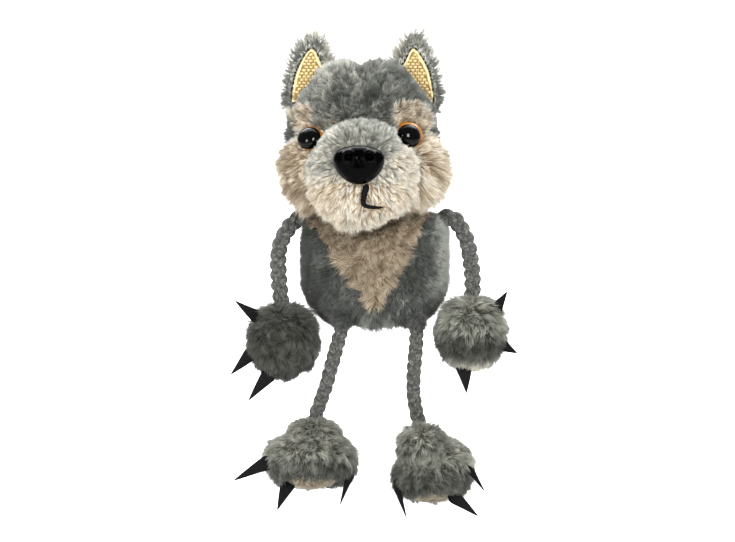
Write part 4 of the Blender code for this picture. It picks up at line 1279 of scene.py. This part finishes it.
def make_neck():
    """Gathered plush between body and head, pleated towards its tie thread."""
    def reach(directions):
        angle = np.arctan2(directions[:, 1], directions[:, 0])
        pleats = 0.45 * np.abs(np.sin(9 * angle)) * (1 - directions[:, 2] ** 2)
        return ((np.hypot(directions[:, 0], directions[:, 1]) / 8.2) ** 2
                + (directions[:, 2] / 5.2) ** 2) ** -0.5 + pleats

    form = Form(NECK, reach)
    surface = Surface(*ball_mesh(form, 0.4, [], 6))
    shell = add_mesh("plush_neck", surface.verts, surface.tris,
                     backing_look("ground_neck", (42, 44, 42), (58, 60, 57)))
    finish_piece(shell, "neck", "plush_dark_grey", "neck_gather")
    roots, normals = surface.roots(10.0, 500)
    fur = grow("pile_neck", roots, normals, DOWN, 1.3, 0.35 + 0.1 * wobble(51, 5.0)(roots),
               PLUSH_LOOKS["plush_dark_grey"][0], 520, lean=48.0, tuft=0.9, gather=0.3, short=True)
    finish_piece(fur, "neck", "plush_dark_grey")
    angle = np.linspace(0, 2 * math.pi, 60)
    ring = np.stack([NECK[0] + 3.2 * np.cos(angle), NECK[1] + 3.2 * np.sin(angle),
                     NECK[2] + 0.15 * np.sin(6 * angle)], axis=1)
    verts, tris = tube(ring, 0.42 * (1 + 0.1 * np.sin(angle * 24)), 10, across=(0, 0, 1))
    thread = add_mesh("neck_tie", verts, tris,
                      yarn_look("tie_thread", (190, 188, 182), (212, 210, 204), (236, 234, 228), 4.0))
    finish_piece(thread, "neck_tie", "thread_grey", "neck_thread")


def carved_stuffing(node):
    """The CAD filling's walls remeshed finely, as points and triangles."""
    obj = add_object("coarse_filling", frame["nodes"][node].data.copy())
    remesh = obj.modifiers.new("remesh", "REMESH")
    remesh.mode = "VOXEL"
    remesh.voxel_size = 0.9 * MM
    bpy.context.view_layer.update()
    fine = bpy.data.meshes.new_from_object(obj.evaluated_get(bpy.context.evaluated_depsgraph_get()))
    bm = bmesh.new()
    bm.from_mesh(fine)
    verts, tris = taken_arrays(bm)
    bpy.data.objects.remove(obj)
    return verts / MM, tris


STUFFING_INSET = 3.0


def make_stuffing(node, body, form=None):
    """Lumpy fibre filling, inside the CAD filling's walls or well inside a form's wall."""
    verts, tris = ball_mesh(form, STUFFING_INSET, [], 5) if form else carved_stuffing(node)
    surface = Surface(verts, tris)
    push = -0.35 + 0.3 * wobble(61, 4.0)(verts) + 0.12 * wobble(62, 1.6)(verts)
    verts = verts + surface.normals * push[:, None]
    filling = add_mesh("stuffing_" + node.replace("_filling", ""), verts, tris, FILLING_LOOK)
    finish_piece(filling, body, "filling_white", node)


# ---------------------------------------------------------------- limbs

def plait(route, radius, pitch):
    """Three strands of twisted yarn plaited round a route."""
    along = unit(np.gradient(route, axis=0))
    side = unit(np.cross(along, np.array([0.0, 1.0, 0.0])))
    depth = np.cross(side, along)
    run = np.concatenate([[0], np.cumsum(np.linalg.norm(np.diff(route, axis=0), axis=1))])
    strand = radius * 0.45
    segments = 20
    angles = np.arange(segments) * 2 * math.pi / segments
    strands = []
    for number in range(3):
        t = 2 * math.pi * (run / pitch + number / 3)
        line = (route + side * ((radius - strand) * np.sin(t))[:, None]
                + depth * (radius * 0.42 * np.sin(2 * t))[:, None])
        ply = strand * (1 + 0.09 * np.cos(4 * angles[None] - run[:, None] * 1.7 + number))
        strands.append(tube(line, ply, segments))
    return joined(strands)


PLAIT_PITCH = {"arm": 9.6, "leg": 8.6}
TUCK = {"arm": 2.2, "leg": 0.8}  # how far a cord runs on into the body
PAW_TUCK = 2.6  # and into its paw
BEND_REACH = 3.5  # length of a direction along the cord at its middle joint, which nothing uses
ROOT_SHIFT = {"arm": (0.0, 0.0, -0.9), "leg": (0.0, 0.4, -0.3)}  # where it bends into the seam


def make_cord(kind, side, look):
    route = ROUTES[kind, side]
    upper, lower = np.array(route["upper"], float), np.array(route["lower"], float)
    centre = np.array(PAWS[kind, side]["centre"])
    inwards = unit(np.array(BODY_CENTRE) - upper[0]) * TUCK[kind]
    points = [upper[0] + inwards, *upper, *lower[1:], lower[-1] + unit(centre - lower[-1]) * PAW_TUCK]
    points[0], points[1] = points[0] + ROOT_SHIFT[kind], points[1] + ROOT_SHIFT[kind]
    line = curve_points(points, 0.34)
    verts, tris = plait(line, CORD_RADIUS[kind], PLAIT_PITCH[kind])
    cord = add_mesh(f"{kind}_cord_{side}", verts, tris, look)
    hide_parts(f"{kind}_cord_upper_{side}", f"{kind}_cord_lower_{side}")
    along = unit(lower[1] - upper[-2]) * BEND_REACH
    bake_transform(cord)
    make_knot(kind, side, upper[0])


CUP_RADIUS = {"arm": 1.8, "leg": 2.5}
CUP_SHIFT = {"arm": (0.0, 0.1, -0.9), "leg": (0.0, 0.3, 2.0)}


def make_knot(kind, side, pivot):
    """Cup of the body's own plush that stands in for the cord's knot at the seam."""
    name, slot = f"{KNOT_NAMES[kind]}_{side}", "plush_dark_grey"
    pile, ground = PLUSH_LOOKS[slot]
    radius = CUP_RADIUS[kind]
    lumps = wobble(61, 3.0)
    place = pivot + CUP_SHIFT[kind]
    form = Form(place, lambda directions: radius + 0.2 * lumps(directions * 3))
    surface = Surface(*ball_mesh(form, 0.0, [], 4))
    knot = add_mesh(f"{KNOT_NAMES[kind]}_cup_{side}", surface.verts, surface.tris, ground)
    body = frame["nodes"][name]["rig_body"]
    finish_piece(knot, body, slot, name)
    seed = 600 + len(kind + side)
    roots, normals = surface.roots(BODY_DENSITY, seed)
    fur = grow("pile_" + name, roots, normals, DOWN, 1.6, 0.2 + 0.12 * wobble(42, 9.0)(roots), pile,
               seed + 40, lean=48.0, width=0.11, tuft=0.9, gather=0.35, short=True)
    finish_piece(fur, body, slot)


def paw_tint(points, kind, side):
    patches = 0.07 * wobble(70 + len(kind + side), 6.0)(points)
    x, y, z = (points - np.array(PAWS[kind, side]["centre"])).T
    if (kind, side) == ("arm", "right"):
        return (0.1 + patches + 0.2 * ease(z, 5.0, 9.0) + 0.16 * ease(x, 6.0, 10.0)
                + 0.2 * ease(-z, 9.0, 11.0))
    if (kind, side) == ("arm", "left"):
        band = np.exp(-(((z + 3.5) / 3.2) ** 2))
        return 0.58 + patches - 0.56 * band + 0.16 * ease(x, 4.0, 9.0) + 0.5 * ease(-z, 5.5, 9.5)
    low = ease(-z, 0.0, 5.0)
    return 0.6 + patches - 0.34 * low + 0.3 * ease(np.abs(x), 10.0, 14.0) + 0.35 * ease(-z, 9.5, 12.0)


# The left foot's ankle stands out as a dome of its own over a low, wide toe part
FOOT_LOBES = {
    ("leg", "left"): [((1.4, -1.0, -5.4), (11.8, 11.4, 8.2)), ((7.4, -1.0, -2.2), (6.6, 8.5, 7.6)),
                      ((-1.6, -4.8, 3.9), (7.3, 8.2, 7.2))],
}
FOOT_BLEND = 0.35


def paw_form(kind, side):
    paw = PAWS[kind, side]
    if (kind, side) in FOOT_LOBES:
        return lobed(paw["centre"], FOOT_LOBES[kind, side], FOOT_BLEND)
    return lobed(paw["centre"], paw["lobes"], PAW_BLEND)


PAW_INSET, PAW_DENSITY = 1.6, 10.5
COLLAR_LENGTH = 1.5  # extra pile round the cord where it enters a hand


def make_paw(kind, side):
    paw, name = PAWS[kind, side], f"{PAW_NAMES[kind]}_{side}"
    joint = np.array(ROUTES[kind, side]["lower"][-1])
    form = paw_form(kind, side)
    up = unit(joint - form.centre)
    sole_plane = ((0, 0, paw.get("sole", -1000.0) - SOLE_DROP), (0, SOLE_SLOPE, 1))
    planes = [sole_plane] if "sole" in paw else []

    def panel_of(points):
        return np.where(side_of(points, sole_plane) < 0, "sole", "skin")

    parts = ("skin", "sole") if "sole" in paw else ("skin",)
    skins = sewn_panels(form, PAW_INSET, planes, panel_of, parts, groove=0.5)
    for number, (part, skin) in enumerate(skins.items()):
        slot = "sole_beige" if part == "sole" else "plush_paw"
        pile, ground = PLUSH_LOOKS[slot]
        shell = add_skin(f"plush_{name}_{part}", skin, ground)
        finish_piece(shell, name, slot, f"{name}_{part}")
        seed = 700 + 100 * len(kind + side) + 10 * number
        roots, normals = skin.roots(PAW_DENSITY, seed)
        flow = around(roots, joint - up * 2, normals) + np.array([0, 0, -0.25])
        if part == "sole":
            flow = around(roots, form.centre + (0, 0, -20.0), normals)
            length = 3.0 - 1.8 * near_seam(roots, planes, 3.5)
            tint = 0.5 + 0.3 * wobble(seed, 5.0)(roots)
        else:
            reach = np.linalg.norm(roots - joint, axis=1)
            length = (3.4 + 0.8 * wobble(seed, 5.0)(roots)) * (0.65 + 0.35 * ease(reach, 2.5, 6.0))
            if kind == "arm":
                length += COLLAR_LENGTH * ease(roots[:, 2] - form.centre[2], 5.0, 9.0)
            tint = paw_tint(roots, kind, side)
        fur = grow(f"pile_{name}_{part}", roots, normals, flow, length, tint, pile, seed + 5,
                   lean=48.0, width=0.105, tuft=1.5, gather=0.5, swirl=0.5)
        finish_piece(fur, name, slot)


CLAW_DEPTH = 2.6  # how much further in than the CAD claw's the root lies
CLAW_SINK = {"foot": 2.6, "hand": 1.4}  # and how far back into the pile
CLAW_STEPS, CLAW_SPAN = 26, 21  # points along and across a claw


def make_claw(node, paw_centre, look):
    """Flat pointed claw on the CAD claw's own place: a lens-shaped blade rooted in the paw."""
    co = np.array([v.co for v in frame["nodes"][node].data.vertices]) / MM
    co = np.unique(co.round(4), axis=0)
    tip = co[np.argsort(-np.linalg.norm(co - paw_centre, axis=1))[:2]].mean(axis=0)
    corners = co[np.argsort(-np.linalg.norm(co - tip, axis=1))[:4]]
    root = corners.mean(axis=0)
    _, _, axes = np.linalg.svd(corners - root)
    half = np.abs((corners - root) @ axes[0]).max()
    along = tip - root
    across = unit(axes[0] - unit(along) * (axes[0] @ unit(along)))
    flat = unit(np.cross(across, along))
    root = root - unit(along) * CLAW_DEPTH
    along = tip - root
    s, t = np.meshgrid(np.linspace(0, 1, CLAW_STEPS), np.linspace(-1, 1, CLAW_SPAN), indexing="ij")
    s, t = s.ravel(), t.ravel()
    width = half * (1 - s) ** 0.92 * (0.35 + 0.8 * ease(s, 0.0, 0.26))
    bow = 0.05 * half * np.sin(math.pi * s)
    middle = root + along * s[:, None] + across * (t * width + bow)[:, None]
    middle[:, 1] += CLAW_SINK[node[:4]] * (1 - s) ** 2
    thick = (0.42 * np.sqrt(np.clip(1 - t**4, 0, 1)) * (1 - 0.72 * s))[:, None]
    tris = grid_tris(CLAW_STEPS, CLAW_SPAN, closed=False)
    verts, faces = closed_shell(middle + flat * thick, middle - flat * thick, tris)
    corner = verts[faces]
    if np.sum(np.cross(corner[:, 0], corner[:, 1]) * corner[:, 2]) < 0:
        faces = faces[:, ::-1]
    claw = add_mesh("felt_" + node, verts, faces, look)
    weld(claw)
    finish_piece(claw, frame["nodes"][node]["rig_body"], "claw_black", node)


def weld(obj):
    """Join the vertices that meet where a form closes to a line or a point."""
    bm = bmesh.new()
    bm.from_mesh(obj.data)
    bmesh.ops.remove_doubles(bm, verts=bm.verts[:], dist=0.004 * MM)
    bmesh.ops.dissolve_degenerate(bm, edges=bm.edges[:], dist=0.002 * MM)
    bm.to_mesh(obj.data)
    bm.free()


def make_limbs():
    cord_look = yarn_look("cord_yarn", (54, 55, 53), (74, 75, 72), (112, 113, 109), 1.3)
    claw_look = cloth_look("felt", "claw_felt", (5, 5, 6), (13, 13, 14))
    for kind in ("arm", "leg"):
        for side in SIDES:
            make_cord(kind, side, cord_look)
            make_paw(kind, side)
            for number in (1, 2, 3):
                make_claw(f"{PAW_NAMES[kind]}_claw_{side}_{number}",
                          np.array(PAWS[kind, side]["centre"]), claw_look)


# ---------------------------------------------------------------- stage

CAMERA_PLACE = (-2.25, -1000.0, 17.7)
CAMERA_LENS = 162.0
FLOOR_Z = -61.0


def make_camera():
    data = bpy.data.cameras.new("camera")
    data.lens = CAMERA_LENS
    camera = add_object("camera", data)
    camera.location = Vector(CAMERA_PLACE) * MM
    camera.rotation_euler = (math.radians(90), 0, 0)
    bpy.context.scene.camera = camera


def add_light(name, place, size, power, aim=(0, 0, 0.02)):
    data = bpy.data.lights.new(name, "AREA")
    data.shape = "RECTANGLE"
    data.size, data.size_y = size
    data.energy = power
    light = add_object(name, data)
    light.location = place
    light.rotation_euler = (Vector(aim) - Vector(place)).to_track_quat("-Z", "Y").to_euler()


WALL_Y, BEND_RADIUS = 1.9, 0.5


def make_stage():
    floor_z = FLOOR_Z * MM
    profile = [(-3.0, floor_z), (WALL_Y - BEND_RADIUS, floor_z)]
    profile += [(WALL_Y - BEND_RADIUS * (1 - math.sin(a)), floor_z + BEND_RADIUS * (1 - math.cos(a)))
                for a in np.linspace(0.1, math.pi / 2, 12)]
    profile.append((WALL_Y, 3.0))
    verts = [(x, y, z) for y, z in profile for x in (-3.0, 3.0)]
    quads = [(2 * i, 2 * i + 1, 2 * i + 3, 2 * i + 2) for i in range(len(profile) - 1)]
    floor = add_mesh("backdrop", np.array(verts) / MM, np.array(quads),
                     Look("backdrop", (246, 246, 246), 0.9).material)
    world = bpy.data.worlds.new("studio")
    world.use_nodes = True
    world.node_tree.nodes["Background"].inputs["Color"].default_value = (1, 1, 1, 1)
    world.node_tree.nodes["Background"].inputs["Strength"].default_value = 0.42
    bpy.context.scene.world = world
    add_light("key", (0.22, -0.85, 0.42), (0.22, 0.3), 9.0)
    add_light("fill", (-0.5, -0.8, 0.28), (0.2, 0.3), 5.5)
    add_light("top", (0.0, 0.3, 0.9), (1.2, 0.8), 16.0)
    add_light("backdrop", (0.0, 0.7, 1.3), (2.4, 0.6), 75.0, aim=(0.0, 1.8, 0.0))
    bpy.context.scene.view_settings.view_transform = "Standard"


def finish_carried_nodes():
    """Procedural materials for the CAD pieces that are shown as they are."""
    white = moulded_look("washer_plastic", ((212, 210, 204), (236, 235, 230)), 0.3, 0.5)
    for name in ("eye_washer_right", "eye_washer_left", "nose_washer"):
        obj = frame["nodes"][name]
        obj.data.materials.clear()
        obj.data.materials.append(white)


make_camera()
make_stage()
# Each pile look takes the root and middle colours of its painted root shade; each ground is darker than
# its pile as painted shade between the strands
PLUSH_LOOKS = {
    "plush_dark_grey": (pile_look("plush_dark_grey", BODY_GREYS, (150, 148, 146), (205, 204, 203)),
                        backing_look("ground_dark_grey", (42, 44, 42), (58, 60, 57))),
    "plush_taupe": (pile_look("plush_taupe", TAUPES, (150, 134, 120), (210, 202, 194)),
                    backing_look("ground_taupe", (84, 72, 56), (108, 94, 75))),
    "plush_paw": (pile_look("plush_paw", PAW_GREYS, (88, 84, 78), (174, 171, 167)),
                  backing_look("ground_paw", (50, 52, 48), (70, 72, 66))),
    "sole_beige": (pile_look("sole_beige", SOLE_BEIGES, (152, 138, 122), (214, 206, 196)),
                   backing_look("ground_sole", (130, 116, 94), (156, 142, 118))),
}
make_head()
make_eyes()
make_nose()
make_mouth()
make_ears()
make_body()
make_lining()
make_neck()
make_limbs()
FILLING_LOOK = cloth_look("fibre", "fibre_filling", (206, 205, 200), (244, 243, 240), (232, 231, 226))
make_stuffing("head_filling", "head")
make_stuffing("body_filling", "torso")
for limb_kind in ("arm", "leg"):
    for limb_side in SIDES:
        limb_name = f"{PAW_NAMES[limb_kind]}_{limb_side}"
        own_form = paw_form(limb_kind, limb_side) if (limb_kind, limb_side) in FOOT_LOBES else None
        make_stuffing(limb_name + "_filling", limb_name, own_form)
finish_carried_nodes()
